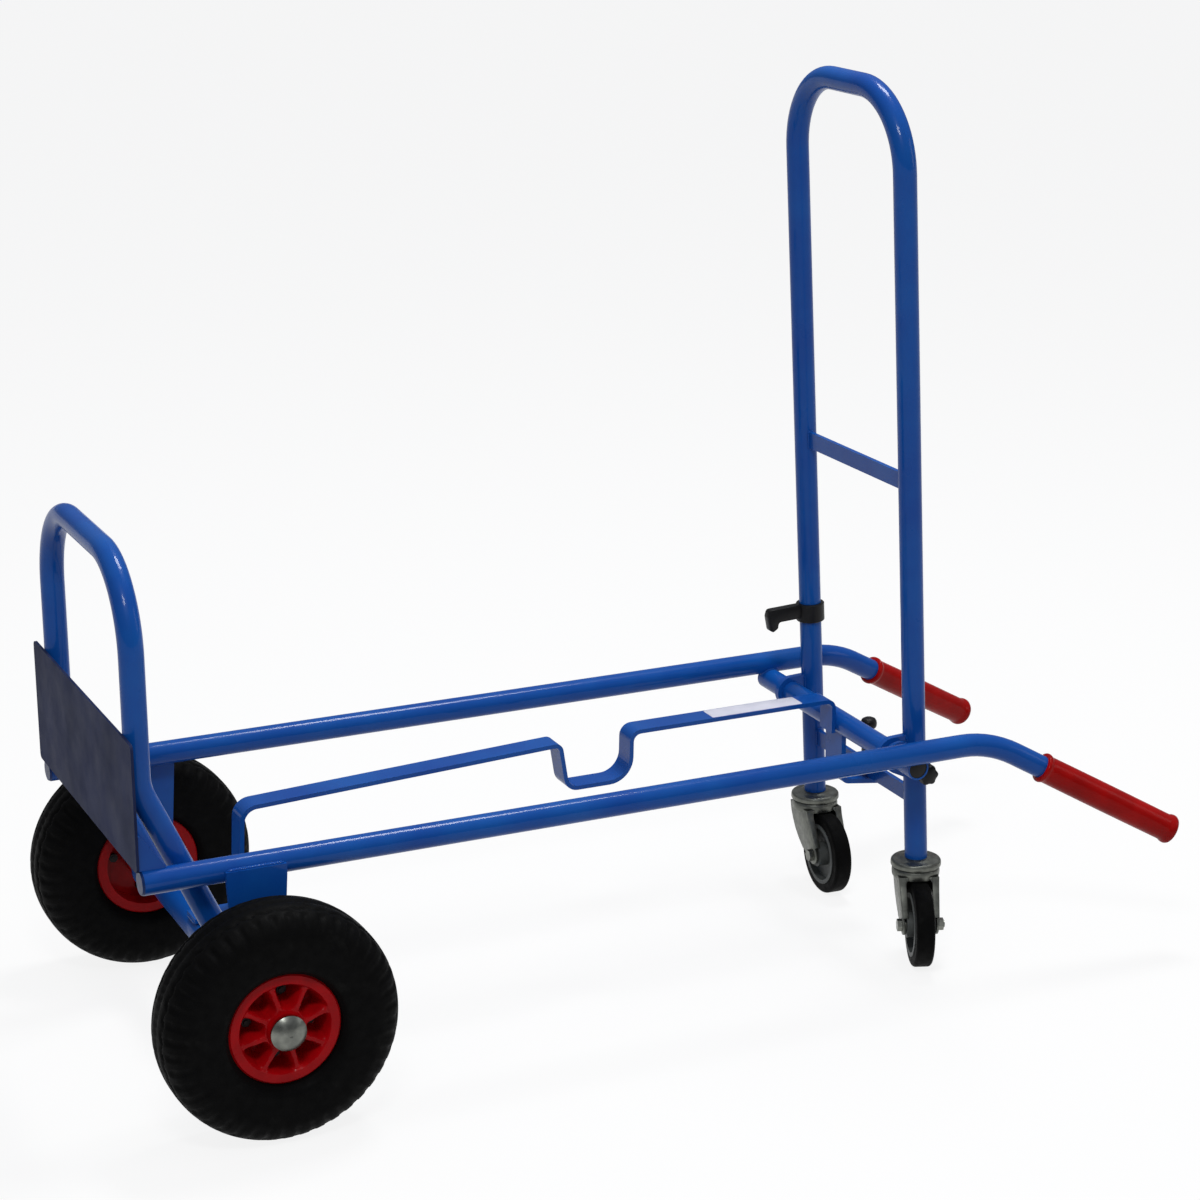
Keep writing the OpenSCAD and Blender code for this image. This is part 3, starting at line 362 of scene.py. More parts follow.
class Shape:
    """Points in mm and faces of one piece, which may be made of several closed solids."""

    def __init__(self):
        self.points, self.faces = [], []

    def grid(self, rows, closed=True):
        """Joins rows of points around, and end to end if closed, or else with a flat end on each."""
        first, n, m = len(self.points), len(rows), len(rows[0])
        for row in rows:
            self.points.extend(Vector(p) for p in row)
        for i in range(n if closed else n - 1):
            k = (i + 1) % n
            for j in range(m):
                q = (j + 1) % m
                quad = (i * m + j, k * m + j, k * m + q, i * m + q)
                self.faces.append([first + corner for corner in quad])
        if not closed:
            self.faces.append([first + j for j in range(m)])
            self.faces.append([first + (n - 1) * m + j for j in reversed(range(m))])

    def lathe(self, loop, steps, place=None):
        """Turns a closed outline around Z. loop is (r, z) pairs, or gives them for an angle."""
        rows = []
        for i in range(steps):
            a = 2 * math.pi * i / steps
            outline = loop(a) if callable(loop) else loop
            row = [Vector((r * math.cos(a), r * math.sin(a), z)) for r, z in outline]
            rows.append([place @ p for p in row] if place else row)
        self.grid(rows)

    def sweep(self, path, section, side=None, closed=False):
        """Carries a section along a path. Its first axis is side, or else whatever turns least."""
        n, rows = len(path), []
        path = [Vector(p) for p in path]
        across = Vector(side) if side else None
        for i in range(n):
            ahead = path[(i + 1) % n] if closed or i < n - 1 else path[i]
            behind = path[i - 1] if closed or i else path[i]
            line = (ahead - behind).normalized()
            if across is None:
                across = line.orthogonal().normalized()
            if not side:
                across = (across - line * across.dot(line)).normalized()
            up = line.cross(across).normalized()
            here = section(i) if callable(section) else section
            rows.append([path[i] + across * u + up * v for u, v in here])
        self.grid(rows, closed)

    def bead(self, path, radius, ripple, closed=False):
        """A weld bead: a rippled round line along a path, with four rings to a ripple."""
        dense = resampled([Vector(p) for p in path], ripple / 4, closed)

        def ring(i):
            end = 1.0 if closed else min(1.0, 0.35 + 0.25 * min(i, len(dense) - 1 - i))
            r = radius * end * (0.86 + 0.14 * math.cos(math.pi * i / 2))
            return [(r * math.cos(b), r * math.sin(b)) for b in around(BEAD_SIDES)]

        self.sweep(dense, ring, closed=closed)

    def slab(self, outline, low, high, edge, place=None):
        """An outline in X and Y, from low to high in Z, with its edges rounded by edge."""
        rows = []
        for inset, z in ((edge, low), (edge * 0.3, low + edge * 0.3), (0, low + edge),
                         (0, high - edge), (edge * 0.3, high - edge * 0.3), (edge, high)):
            row = [Vector((x, y, z)) for x, y in shrunk(outline, inset)]
            rows.append([place @ p for p in row] if place else row)
        self.grid(rows, closed=False)

    def make(self, name, place, slot, body, *replaced, angle=38):
        """The finished piece, riding its body."""
        mesh = bpy.data.meshes.new(name)
        mesh.from_pydata([p * MM for p in self.points], [], self.faces)
        mesh.transform(place)
        work = bmesh.new()
        work.from_mesh(mesh)
        bmesh.ops.remove_doubles(work, verts=work.verts, dist=MERGE_GAP)
        bmesh.ops.recalc_face_normals(work, faces=work.faces)
        work.to_mesh(mesh)
        work.free()
        mesh.validate()
        mesh.shade_smooth()
        mesh.set_sharp_from_angle(angle=math.radians(angle))
        obj = bpy.data.objects.new(name, mesh)
        bpy.context.scene.collection.objects.link(obj)
        obj.data.materials.append(finishes[slot])
        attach(obj, body)
        if replaced:
            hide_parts(*replaced)
        return obj


def around(n):
    """n angles around a circle."""
    return [2 * math.pi * i / n for i in range(n)]


def resampled(path, step, closed):
    """The path in even steps of about that length, their number a multiple of four."""
    ends = path + [path[0]] if closed else path
    marks = [0.0]
    for a, b in zip(ends, ends[1:]):
        marks.append(marks[-1] + (b - a).length)
    n = max(4 * round(marks[-1] / step / 4), 8)
    points, k = [], 0
    for i in range(n if closed else n + 1):
        d = marks[-1] * i / n
        while k < len(marks) - 2 and marks[k + 1] < d:
            k += 1
        share = (d - marks[k]) / max(marks[k + 1] - marks[k], 1e-9)
        points.append(ends[k].lerp(ends[k + 1], share))
    return points


def shrunk(outline, inset):
    """A closed outline moved inwards by inset."""
    if not inset:
        return outline
    n, area = len(outline), 0.0
    for (x0, y0), (x1, y1) in zip(outline, outline[1:] + outline[:1]):
        area += x0 * y1 - x1 * y0
    turn = 1 if area > 0 else -1
    moved = []
    for i in range(n):
        before, here, after = (Vector(outline[j % n]) for j in (i - 1, i, i + 1))
        a, b = (here - before).normalized(), (after - here).normalized()
        inward = Vector((-a.y - b.y, a.x + b.x)) * turn
        inward.normalize()
        along = max(inward.dot(Vector((-a.y, a.x)) * turn), 0.4)
        moved.append(tuple(here + inward * (inset / along)))
    return moved


def rounded(corners, radius, steps=5):
    """A closed outline whose corners are arcs. A corner may carry its own radius third."""
    n, points = len(corners), []
    for i in range(n):
        r = corners[i][2] if len(corners[i]) > 2 else radius
        before, here, after = (Vector(corners[j % n][:2]) for j in (i - 1, i, i + 1))
        a, b = (before - here).normalized(), (after - here).normalized()
        half = math.acos(max(-1.0, min(1.0, a.dot(b)))) / 2
        reach = min(r / math.tan(half), 0.45 * (before - here).length, 0.45 * (after - here).length)
        start, end = here + a * reach, here + b * reach
        for k in range(steps + 1):
            t = k / steps
            points.append(tuple(start.lerp(here, t).lerp(here.lerp(end, t), t)))
    return points


def box_section(low, high, thick, edge):
    """The rounded section of a strip: from low to high across, and thick through."""
    half = thick / 2
    return rounded([(low, -half), (high, -half), (high, half), (low, half)], edge, 3)


# ---- wheels ----

# the tyre's section: a rounded box, where 0 degrees is the middle of the tread
TYRE_HALF = (42.5, 42.0)  # half its width and half its height
TYRE_R = 88.0  # radius of its middle
TYRE_POWER = 2.8  # how square it is
CAVITY_HALF = (36.0, 35.1)  # half the width and half the height of the inner tube's space
CAVITY_R = 87.9
CAVITY_POWER = 2
FLANK = (65, 70, 76, 83, 90, 97, 104, 112)  # the angles of its points beside the tread
TREAD_END = 76  # the angle where the tread ends
SIDE_STEP, SIDE_STEP_ENDS = 0.7, (83, 97)  # a step into the side, and the angles it lies between

# the tread, across the tyre
GROOVE_Y = (-17.0, 0.0, 17.0)
WEAVE = 1.6  # how far a groove weaves to either side
GROOVE_EASE = 0.8  # half the width of a groove's sloping side
NOTCH_Y = (23.0, 27.0, 39.5, 41.5)  # where a notch starts, is deep, begins to rise and ends
LUG_STEPS = 8  # steps around the tyre to a lug

# the rim's face: radii, and heights out from the wheel's middle
BORE_R, HUB_R, RIM_R = 14.05, 21.0, 61.0
RIBS = 8
RIB_PHASE = math.radians(15)
RIB_STEPS = 26  # steps around the rim to a rib
POCKET_R = (21.6, 29.0, 40.0, 50.0)  # where a pocket starts, is deep, begins to rise and ends
FLANGE_R = (48.0, 50.2)  # where the ribs end, and where the flange starts
HUB_TOP, RIB_TOP, FLANGE_TOP, WEB_TOP = 37.0, 32.5, 31.0, 3.1
RIB_FALL, FLANGE_FALL = 3.2, 1.6  # how far the ribs and the flange fall towards their outer ends


def power_box(angle, half, power):
    """A point of a rounded box of that half width and height: how far out and how far across."""
    c, s = math.cos(angle), math.sin(angle)
    out = half[1] * math.copysign(abs(c) ** (2 / power), c)
    across = half[0] * math.copysign(abs(s) ** (2 / power), s)
    return out, across


def tread_cut(across, angle, shape):
    """How deep the tread is cut at a place across and around it, in mm."""
    width, depth = shape.groove_width / MM, shape.groove_depth / MM
    weave = WEAVE * math.sin(shape.lugs * angle)
    cut = 0.0
    for middle in GROOVE_Y:
        off = abs(across - middle - weave)
        cut = max(cut, depth * (1 - eased(off, width / 2 - GROOVE_EASE, width / 2 + GROOVE_EASE)))
    swing = math.cos(shape.lugs * angle + (math.pi if across > 0 else 0))
    inner, deep, rise, outer = NOTCH_Y
    notch = eased(swing, 0.25, 0.75) * eased(abs(across), inner, deep)
    notch *= 1 - eased(abs(across), rise, outer)
    return max(cut, notch * shape.lug_depth / MM)


def tyre_loop(angle, shape):
    """The tyre's section at an angle around it."""
    low, high = SIDE_STEP_ENDS
    loop = []
    outside = [-degrees for degrees in reversed(FLANK)] + list(range(-60, 61, 3)) + list(FLANK)
    for degrees in outside:
        a = math.radians(degrees)
        out, across = power_box(a, TYRE_HALF, TYRE_POWER)
        cut = tread_cut(across, angle, shape) if abs(degrees) <= TREAD_END else 0.0
        flat = abs(math.cos(a))
        step = SIDE_STEP if low <= abs(degrees) <= high else 0.0
        pinch = math.copysign(step + 0.5 * cut * (1 - flat), across)
        loop.append((TYRE_R + out - cut * max(flat, 0.35), across - pinch))
    foot = [(65.5, 37.0), (62.6, 34.6), (61.6, 31.6), (61.55, 27.0), (52.35, 26.8), (52.35, 12.2),
            (55.9, 12.1)]
    turns = [math.radians(degrees) for degrees in range(160, -161, -16)]
    inside = [power_box(a, CAVITY_HALF, CAVITY_POWER) for a in turns]
    loop += foot + [(CAVITY_R + out, across) for out, across in inside]
    return loop + [(r, -z) for r, z in reversed(foot)]


def rim_face(r, angle, shape):
    """How far out the rim's face stands at a place on it."""
    pitch = 2 * math.pi / RIBS
    off = (angle + RIB_PHASE + pitch / 2) % pitch - pitch / 2
    beside = r * abs(math.sin(off))
    half, run = shape.rib_width / MM / 2, shape.rib_fillet / MM
    inner, deep, rise, outer = POCKET_R
    pocket = eased(beside, half, half + run) * eased(r, inner, deep) * (1 - eased(r, rise, outer))
    top = RIB_TOP - RIB_FALL * eased(r, HUB_R, FLANGE_R[0])
    top += (HUB_TOP - top) * (1 - eased(r, HUB_R - 0.8, HUB_R + 0.4))
    top += (FLANGE_TOP - top) * eased(r, *FLANGE_R)
    top -= FLANGE_FALL * eased(r, RIM_R - 2, RIM_R)
    return top + (WEB_TOP - top) * pocket


def rim_loop(angle, shape):
    """The outer rim half's section at an angle around it."""
    radii = [BORE_R, 15, 17, 19, 20.2, 20.8, 21.4, 22, 22.6, 23.2, 23.8, 26, 29, 32, 35, 38, 41, 43.5,
             45.4, 46.2, 46.9, 47.6, 48.2, 49, 50.2, 52, 55, 58, 59.2, 60.2, 60.8, RIM_R]
    front = [(r, rim_face(r, angle, shape)) for r in radii]
    back = [(RIM_R, 28.2), (60.2, 27.1), (52.0, 27.05), (52.0, 0.05), (49.0, 0.05), (BORE_R, 0.05)]
    return front + back


class HT_OT_wheels(bpy.types.Operator):
    """Builds the tyres with their tread and the outer rims with their pockets."""

    bl_idname = "ht.wheels"
    bl_label = "Wheels"

    def execute(self, context):
        shape = settings("shape")
        for name, _side in SIDES:
            place = wheel_frame(name + "_tyre")
            body = name + "_wheel"
            tyre = Shape()
            tyre.lathe(lambda a: tyre_loop(a, shape), shape.lugs * LUG_STEPS)
            tyre.make(name + "_tyre_tread", place, "tyre_rubber", body, name + "_tyre", angle=50)
            rim = Shape()
            rim.lathe(lambda a: rim_loop(a, shape), RIBS * RIB_STEPS)
            rim.make(name + "_rim_face", place, "red_rim", body, name + "_rim_outer")
        return {"FINISHED"}


# ---- grips ----

GRIP_R, GRIP_SWELL = 16.3, 0.25  # radius between the collars, and how much it swells midway


def grip_loop():
    """The grip's section, from its upper collar to its closed end."""
    start, end, bore = GRIP_START, GRIP_START + GRIP_L, TUBE_R + FIT
    upper = [(bore, 0), (17.2, 0), (17.9, 1.2), (18.0, 3.4), (17.4, 5.2), (16.6, 6.4), (GRIP_R, 9)]
    loop = [(r, start + z) for r, z in upper]
    for k in range(1, 12):
        t = k / 12
        loop.append((GRIP_R + GRIP_SWELL * math.sin(math.pi * t), start + 9 + t * (GRIP_L - 22)))
    lower = [(GRIP_R, 13), (16.6, 9.5), (17.6, 7.6), (18.0, 5), (17.9, 3.2), (17.0, 1.3), (15.2, 0.3),
             (13.0, 0), (5.0, 0), (0, 0), (0, 4), (bore, 4)]
    return loop + [(r, end - z) for r, z in lower]


class HT_OT_grips(bpy.types.Operator):
    """Builds the rubber grips, with a rolled collar at each end."""

    bl_idname = "ht.grips"
    bl_label = "Grips"

    def execute(self, context):
        for name, side in SIDES:
            grip = Shape()
            grip.lathe(grip_loop(), 48)
            place = handle_frame(side)
            grip.make(name + "_grip_rubber", place, "red_rubber", "frame", name + "_grip", angle=60)
        return {"FINISHED"}


# ---- welds ----

BRACKET_BEAD = (203.0, 281.6, 31.0)  # Y, Z and half length, along an axle bracket's top edge
BEAM_BEAD = (17.2, 200.0)  # radius and Y, around the axle's beam
STRAP_BEAD = (0.3, 17.6, 13.0)  # X past the strap, Z over the axle and half length
TOE_BEADS = (-120.2, (149.5, 166.5), (312.0, 392.0), 16.0)  # X, Ys, Zs and half length
LEG_BEADS = (-12.4, 4.6, 18.5)  # off a leg's middle, in X and Y, and half length
BAR_BEAD = (3.0, 10.5)  # half the width and half the height, around a crossbar's end
END_PLUG_R = 11.35  # the plugs in the cross tube's ends
END_PLUG_Y = (3.0, 0.5)  # their inner and outer face, in from the middle of a rail


def saddle_path(side):
    """The line where the cross tube meets a rail."""
    path = []
    for k in range(-6, 7):
        b = math.radians(10.2 * k)
        x, z = PIVOT[0] + TUBE_R * math.sin(b), PIVOT[1] + TUBE_R * math.cos(b)
        y = RAIL_Y - math.sqrt(max(TUBE_R**2 - (z - RAIL_Z) ** 2, 0))
        path.append((x, side * y, z))
    return path


class HT_OT_welds(bpy.types.Operator):
    """Lays the painted weld beads on the frame and the push hoop, and plugs the cross tube's ends in
    black, which paints the shade there.
    """

    bl_idname = "ht.welds"
    bl_label = "Welds"

    def execute(self, context):
        shape = settings("shape")
        bead_r, ripple = shape.weld_radius / MM, shape.weld_ripple / MM
        origin = Matrix.Translation(at(0, 0, 0))
        strap_lo, _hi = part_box("centre_strap")
        strap_x = strap_lo.x / MM + ORIGIN_X
        frame_welds = Shape()
        for _name, side in SIDES:
            # the bracket's top edge against the rail
            y, z, half = BRACKET_BEAD
            frame_welds.bead([(x, side * y, z) for x in (-half, 0, half)], bead_r, ripple)
            # around the axle's beam, inside the bracket
            r, y = BEAM_BEAD
            ring = [(r * math.cos(a), side * y, AXLE_Z + r * math.sin(a)) for a in around(48)]
            frame_welds.bead(ring, bead_r, ripple, closed=True)
            # where the cross tube meets the rail
            frame_welds.bead(saddle_path(side), bead_r, ripple)
            # stitches between the toe plate and the toe hoop's legs
            x, across, heights, half = TOE_BEADS
            for y in across:
                for z in heights:
                    line = [(x, side * y, z + k) for k in (-half, 0, half)]
                    frame_welds.bead(line, bead_r * 0.8, ripple)
        # the strap's foot on the axle's beam
        x, z, half = strap_x + STRAP_BEAD[0], AXLE_Z + STRAP_BEAD[1], STRAP_BEAD[2]
        frame_welds.bead([(x, y, z) for y in (-half, 0, half)], bead_r * 0.8, ripple)
        frame_welds.make("frame_welds", origin, "blue_powder_coat", "frame", angle=60)

        # the plugs in the cross tube's ends, cut off flat just under the rails: their black is painted
        # shade for the tube's shaded ends
        ends = Shape()
        top = RAIL_Z - TUBE_R - 0.15 - PIVOT[1]
        first = math.asin(top / END_PLUG_R)
        arc = [math.pi - first + (math.pi + 2 * first) * k / 32 for k in range(33)]
        outline = [(END_PLUG_R * math.cos(a), END_PLUG_R * math.sin(a)) for a in arc]
        for _name, side in SIDES:
            turn = Matrix(((1, 0, 0, PIVOT[0]), (0, 0, side, 0), (0, 1, 0, PIVOT[1]), (0, 0, 0, 1)))
            ends.slab(outline, RAIL_Y - END_PLUG_Y[0], RAIL_Y - END_PLUG_Y[1], 0.3, turn)
        ends.make("cross_tube_ends", origin, "black_plastic", "frame", angle=60)

        hoop_welds = Shape()
        for _name, side in SIDES:
            # around the crossbars' ends
            w, h = BAR_BEAD
            y = side * (HOOP_Y - TUBE_R - 0.6)
            for z in CROSSBAR_Z:
                s = hoop_s(z)
                corners = [(-w, s - h), (w, s - h), (w, s + h), (-w, s + h)]
                path = [(HOOP_OFFSET + u, y, v) for u, v in rounded(corners, 2, 3)]
                hoop_welds.bead(path, bead_r * 0.75, ripple, closed=True)
            # down both edges of the hinge's eye, where it lies on the leg
            u, off, half = LEG_BEADS
            for y in (side * HOOP_Y - off, side * HOOP_Y + off):
                line = [(HOOP_OFFSET + u, y, s) for s in (-half, 0, half)]
                hoop_welds.bead(line, bead_r * 0.75, ripple)
        hoop_welds.make("hoop_welds", hoop_frame(0, 0, 0), "blue_powder_coat", "hoop", angle=60)
        return {"FINISHED"}


# ---- castors ----

CROWN_TOP = 107.8  # height of the fork's crown
AXLE_OFF = (38.0, 50.0)  # the castor wheel's axle, behind the king pin and up from the floor
ARM_IN, ARM_OUT = 18.5, 21.5  # an arm's faces at its end
ARM_END_R = 12.0  # round end of an arm, around the bolt
ARM_SPREAD = 3.0  # how far the arms stand out at the crown past their ends
ARCH_HALF = 15.0  # half the width left open for the wheel
FRONT_TOP, FRONT_LEAN = (25.2, 104.6), 0.38  # the arch's upper edge, and how it leans
SHEET = (2.6, 1.1)  # an edge's thickness and its corners' radius
BACK_REACH, FRONT_REACH = 4.0, 8.4  # how far the edges are turned inwards
WALL_HALF = 20.5  # half the width of the wall behind the wheel


def arm_spread(z):
    """How far the arms of a fork stand out past their ends at a height."""
    return ARM_SPREAD * (z - AXLE_OFF[1]) / (CROWN_TOP - AXLE_OFF[1])


def turned_edge(fork, side, path, reach):
    """Lays the edge of an arm that is turned inwards by reach, along a path in X and Z."""
    smooth = resampled([Vector((x, 0, z)) for x, z in path], 3.0, False)

    def section(i):
        outer = ARM_OUT + arm_spread(smooth[i].z) - 0.1
        inner = max(outer - reach, ARCH_HALF)
        return box_section(*sorted((side * inner, side * outer)), *SHEET)

    fork.sweep(smooth, section, side=(0, 1, 0))


def fork_shape():
    """A fork pressed from sheet: a crown that wraps the balls, and two arms with turned edges."""
    fork = Shape()
    fork.lathe([(6.1, CROWN_TOP), (25.0, CROWN_TOP), (25.2, 111.2), (25.8, 111.7), (27.0, 111.1),
                (28.3, 108.5), (28.6, 105.0), (28.3, 101.0), (27.9, 99.7), (26.3, 99.6), (26.3, 102.5),
                (25.0, 103.8), (6.1, 103.8)], 56)
    x, z = AXLE_OFF
    arc = [math.radians(k) for k in range(25, -146, -10)]
    lower = [(x + ARM_END_R * math.cos(a), z + ARM_END_R * math.sin(a)) for a in arc]
    edge_in = [(25.0, 104.5), (28.7, 94.0), (39.0, 76.0)]
    edge_out = [(12.0, 50.5), (0.0, 60.5), (-9.0, 71.0), (-15.0, 82.0), (-19.0, 93.0), (-20.0, 104.5)]
    back = [(-20.2, 104.6), (-19.0, 93.0), (-14.8, 82.0), (-8.8, 71.0), (0.2, 60.6), (12.2, 50.8)]
    front = [(25.6, 104.6), (29.3, 95.0), (39.2, 78.0), (47.6, 62.0)]
    lean = ARM_SPREAD / (CROWN_TOP - z)
    for side in (-1, 1):
        spread = (0, lean * side, side, -lean * side * z)
        turn = Matrix(((1, 0, 0, 0), spread, (0, 1, 0, 0), (0, 0, 0, 1)))
        fork.slab(edge_in + lower + edge_out, ARM_IN, ARM_OUT, 0.6, turn)
        # the edges turned inwards, at the back a little and at the front as far as the wheel allows
        turned_edge(fork, side, back, BACK_REACH)
        turned_edge(fork, side, front, FRONT_REACH)
        # the corner that makes the front an arch over the wheel
        corner = [(15.6, 89.0), (15.6, 96.5), (14.8, 99.8), (12.4, 102.4), (12.4, 104.6), (24.2, 104.6),
                  (23.6, 89.0)]
        start = FRONT_TOP[0] + FRONT_LEAN * FRONT_TOP[1]
        slant = Matrix(((0, -FRONT_LEAN, 1, start), (side, 0, 0, 0), (0, 1, 0, 0), (0, 0, 0, 1)))
        fork.slab(corner, -1.2, 1.2, 0.5, slant)
        # the washer pressed around the bolt
        face = Matrix.Translation((x, side * ARM_OUT, z))
        face = face @ Matrix.Rotation(-side * math.pi / 2, 4, "X")
        fork.lathe([(4.1, -1.0), (9.2, -1.0), (9.2, 0.02), (4.1, 0.03)], 32, face)
    # the wall that joins the arms behind the wheel
    wall = resampled([Vector((px, 0, pz)) for px, pz in back[:4]], 3.0, False)
    fork.sweep(wall, box_section(-WALL_HALF, WALL_HALF, 2.4, 1.0), side=(0, 1, 0))
    return fork


def cap_shape():
    """A castor's swivel cap, with its rolled rim and the riveted king pin."""
    cap = Shape()
    cap.lathe([(0, 122.0), (15.5, 122.0), (17.5, 121.5), (19.5, 120.4), (23.5, 119.7), (26.8, 119.9),
               (28.6, 119.4), (29.7, 118.0), (30.0, 116.0), (30.0, 113.2), (29.7, 112.5), (28.7, 112.5),
               (28.4, 113.0), (28.1, 113.8), (27.6, 114.0), (6.0, 114.0), (6.0, 103.6), (9.4, 103.6),
               (10.0, 103.0), (9.6, 101.0), (7.4, 99.8), (0, 99.6)], 64)
    return cap


class HT_OT_castors(bpy.types.Operator):
    """Builds the castors' pressed forks and rolled caps."""

    bl_idname = "ht.castors"
    bl_label = "Castors"

    def execute(self, context):
        for name, _side in SIDES:
            place = castor_frame(name)
            fork_shape().make(name + "_pressed_fork", place, "zinc_sheet", name + "_castor",
                              name + "_castor_fork")
            cap_shape().make(name + "_rolled_cap", place, "zinc_sheet", "hoop", name + "_castor_cap")
        return {"FINISHED"}


# ---- clip, knobs and label ----

KNOB_LOBES = 6
KNOB_R, KNOB_DIP = 12.5, 1.7  # radius of the clamp knob's lobes, and the dip between two
PLUNGER_KNOB_LIFT = 42.3  # from the lower crossbar's middle up to the plunger's knob


def knob_loop(angle):
    """The clamp knob's section at an angle around it."""
    r = KNOB_R - KNOB_DIP * (0.5 - 0.5 * math.cos(KNOB_LOBES * angle))
    return [(4.05, 0), (7.0, 0), (7.5, 0.6), (7.5, 3.4), (r - 1.4, 4.0), (r - 0.3, 4.9), (r, 6.2),
            (r, 12.2), (r - 0.5, 13.8), (r - 2.2, 14.8), (7.0, 15.2), (5.0, 15.9), (0, 16), (0, 13),
            (4.05, 13)]


class HT_OT_controls(bpy.types.Operator):
    """Builds the moulded hook clip, the clamp knob and the plunger's knob."""

    bl_idname = "ht.controls"
    bl_label = "Controls"

    def execute(self, context):
        clip = Shape()
        bore = TUBE_R + FIT
        collar = [(bore, -11.5), (16.6, -11.5), (17.5, -10.6), (17.5, 10.6), (16.6, 11.5), (bore, 11.5)]
        clip.lathe(collar, 48)
        arm = rounded([(-14.6, 11.5, 1), (-59, 11.5, 7), (-61.5, 3, 4), (-59, -15, 5),
                       (-54.5, -17.5, 3), (-48, -13.5, 3), (-46.5, -6, 4), (-14.6, -6, 1)], 2)
        upright = Matrix(((1, 0, 0, 0), (0, 0, 1, 0), (0, 1, 0, 0), (0, 0, 0, 1)))
        clip.slab(arm, -6, 6, 1.4, upright)
        place = hoop_frame(HOOP_OFFSET, HOOP_Y, hoop_s(CLIP_Z))
        clip.make("hook_clip_moulding", place, "black_plastic", "hoop", "hook_clip")

        lo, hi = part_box("lock_knob")
        centre = (lo + hi) / 2
        knob = Shape()
        knob.lathe(knob_loop, 96)
        place = Matrix.Translation(Vector((centre.x, hi.y, centre.z)))
        place = place @ Matrix.Rotation(math.pi / 2, 4, "X")
        knob.make("clamp_knob_moulding", place, "black_plastic", "clamp", "lock_knob")

        pull = Shape()
        pull.lathe([(2.55, 0), (5.4, 0), (6.0, 0.8), (6.4, 3.0), (8.6, 4.4), (9.7, 6.6), (10.0, 9.4),
                    (9.6, 12.6), (8.2, 15.2), (5.6, 16.6), (0, 17.0), (0, 12.0), (2.55, 12.0)], 48)
        place = hoop_frame(PLUNGER_OFFSET, 0, hoop_s(CROSSBAR_Z[1]) + PLUNGER_KNOB_LIFT)
        pull.make("plunger_knob_moulding", place, "black_plastic", "plunger", "plunger_knob")
        return {"FINISHED"}


class HT_OT_label(bpy.types.Operator):
    """Lays the blank label on the strap."""

    bl_idname = "ht.label"
    bl_label = "Label"

    def execute(self, context):
        lo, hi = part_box("blank_label")
        size = (hi - lo) / MM
        corner = settings("shape").label_corner / MM
        outline = rounded([(0, 0), (size.x, 0), (size.x, size.y), (0, size.y)], corner)
        label = Shape()
        label.slab(outline, 0, size.z, 0.1)
        label.make("blank_label_film", Matrix.Translation(lo), "label_film", "frame", "blank_label")
        return {"FINISHED"}


# ---- paint on the CAD pieces ----


class HT_OT_paint(bpy.types.Operator):
    """Makes the finishes and puts them on the CAD pieces."""

    bl_idname = "ht.paint"
    bl_label = "Paint"

    def execute(self, context):
        finishes.update(make_finishes())
        for node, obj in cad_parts.items():
            kind = node.replace("left_", "").replace("right_", "")
            look = NODE_SLOTS.get(kind, "bright_zinc" if kind in ZINC_NODES else "blue_powder_coat")
            obj.data.materials.clear()
            obj.data.materials.append(finishes[look])
        return {"FINISHED"}


# ---- stage ----

WHITE = "#ffffff"
SENSOR_MM = 36
FLOOR_HALF = 40.0  # half the floor's width, in metres
FLOOR_GLOW = 0.86  # the share of plain white in the floor that is seen, over its shaded chalk
HORIZON_LEVEL = 0.08  # brightness of the soft light from the side
LIT_POINT = (0.0, 0.0, 0.35)  # where the lamps point
SOFTBOXES = (  # name, place, size and share of the lamp power
    ("key", (-1.2, -2.2, 3.2), (0.9, 0.6), 0.8),
    ("top", (0.8, 0.6, 3.4), (1.0, 0.6), 1.1),
    ("fill", (3.2, -1.6, 1.6), (1.0, 1.4), 0.15),
)


def seen_rays(tree):
    """1 for the rays that show the background: seen straight, mirrored or through glass."""
    rays = add(tree, "ShaderNodeLightPath").outputs
    first = add(tree, "ShaderNodeMath", {0: rays["Is Camera Ray"], 1: rays["Is Glossy Ray"]},
                operation="MAXIMUM").outputs[0]
    return add(tree, "ShaderNodeMath", {0: first, 1: rays["Is Transmission Ray"]},
               operation="MAXIMUM").outputs[0]


def lay_floor(scene):
    """A wide floor that is nearly white where it is seen, and a duller grey for the light it throws."""
    mesh = bpy.data.meshes.new("floor")
    corners = ((-1, -1), (1, -1), (1, 1), (-1, 1))
    mesh.from_pydata([(x * FLOOR_HALF, y * FLOOR_HALF, 0) for x, y in corners], [], [(0, 1, 2, 3)])
    floor = bpy.data.objects.new("floor", mesh)
    scene.collection.objects.link(floor)
    paper = bpy.data.materials.new("pale_studio_floor")
    paper.use_nodes = True
    tree = paper.node_tree
    tree.nodes.clear()
    seen = seen_rays(tree)
    matte = add(tree, "ShaderNodeBsdfDiffuse", {"Color": linear("#bcbcbc")}).outputs[0]
    glow = add(tree, "ShaderNodeEmission", {"Color": linear(WHITE), "Strength": 1.0}).outputs[0]
    chalk = add(tree, "ShaderNodeBsdfDiffuse", {"Color": linear("#f6f6f6")}).outputs[0]
    pale = add(tree, "ShaderNodeMixShader", {0: FLOOR_GLOW, 1: chalk, 2: glow}).outputs[0]
    both = add(tree, "ShaderNodeMixShader", {0: seen, 1: matte, 2: pale}).outputs[0]
    add(tree, "ShaderNodeOutputMaterial", {"Surface": both})
    mesh.materials.append(paper)


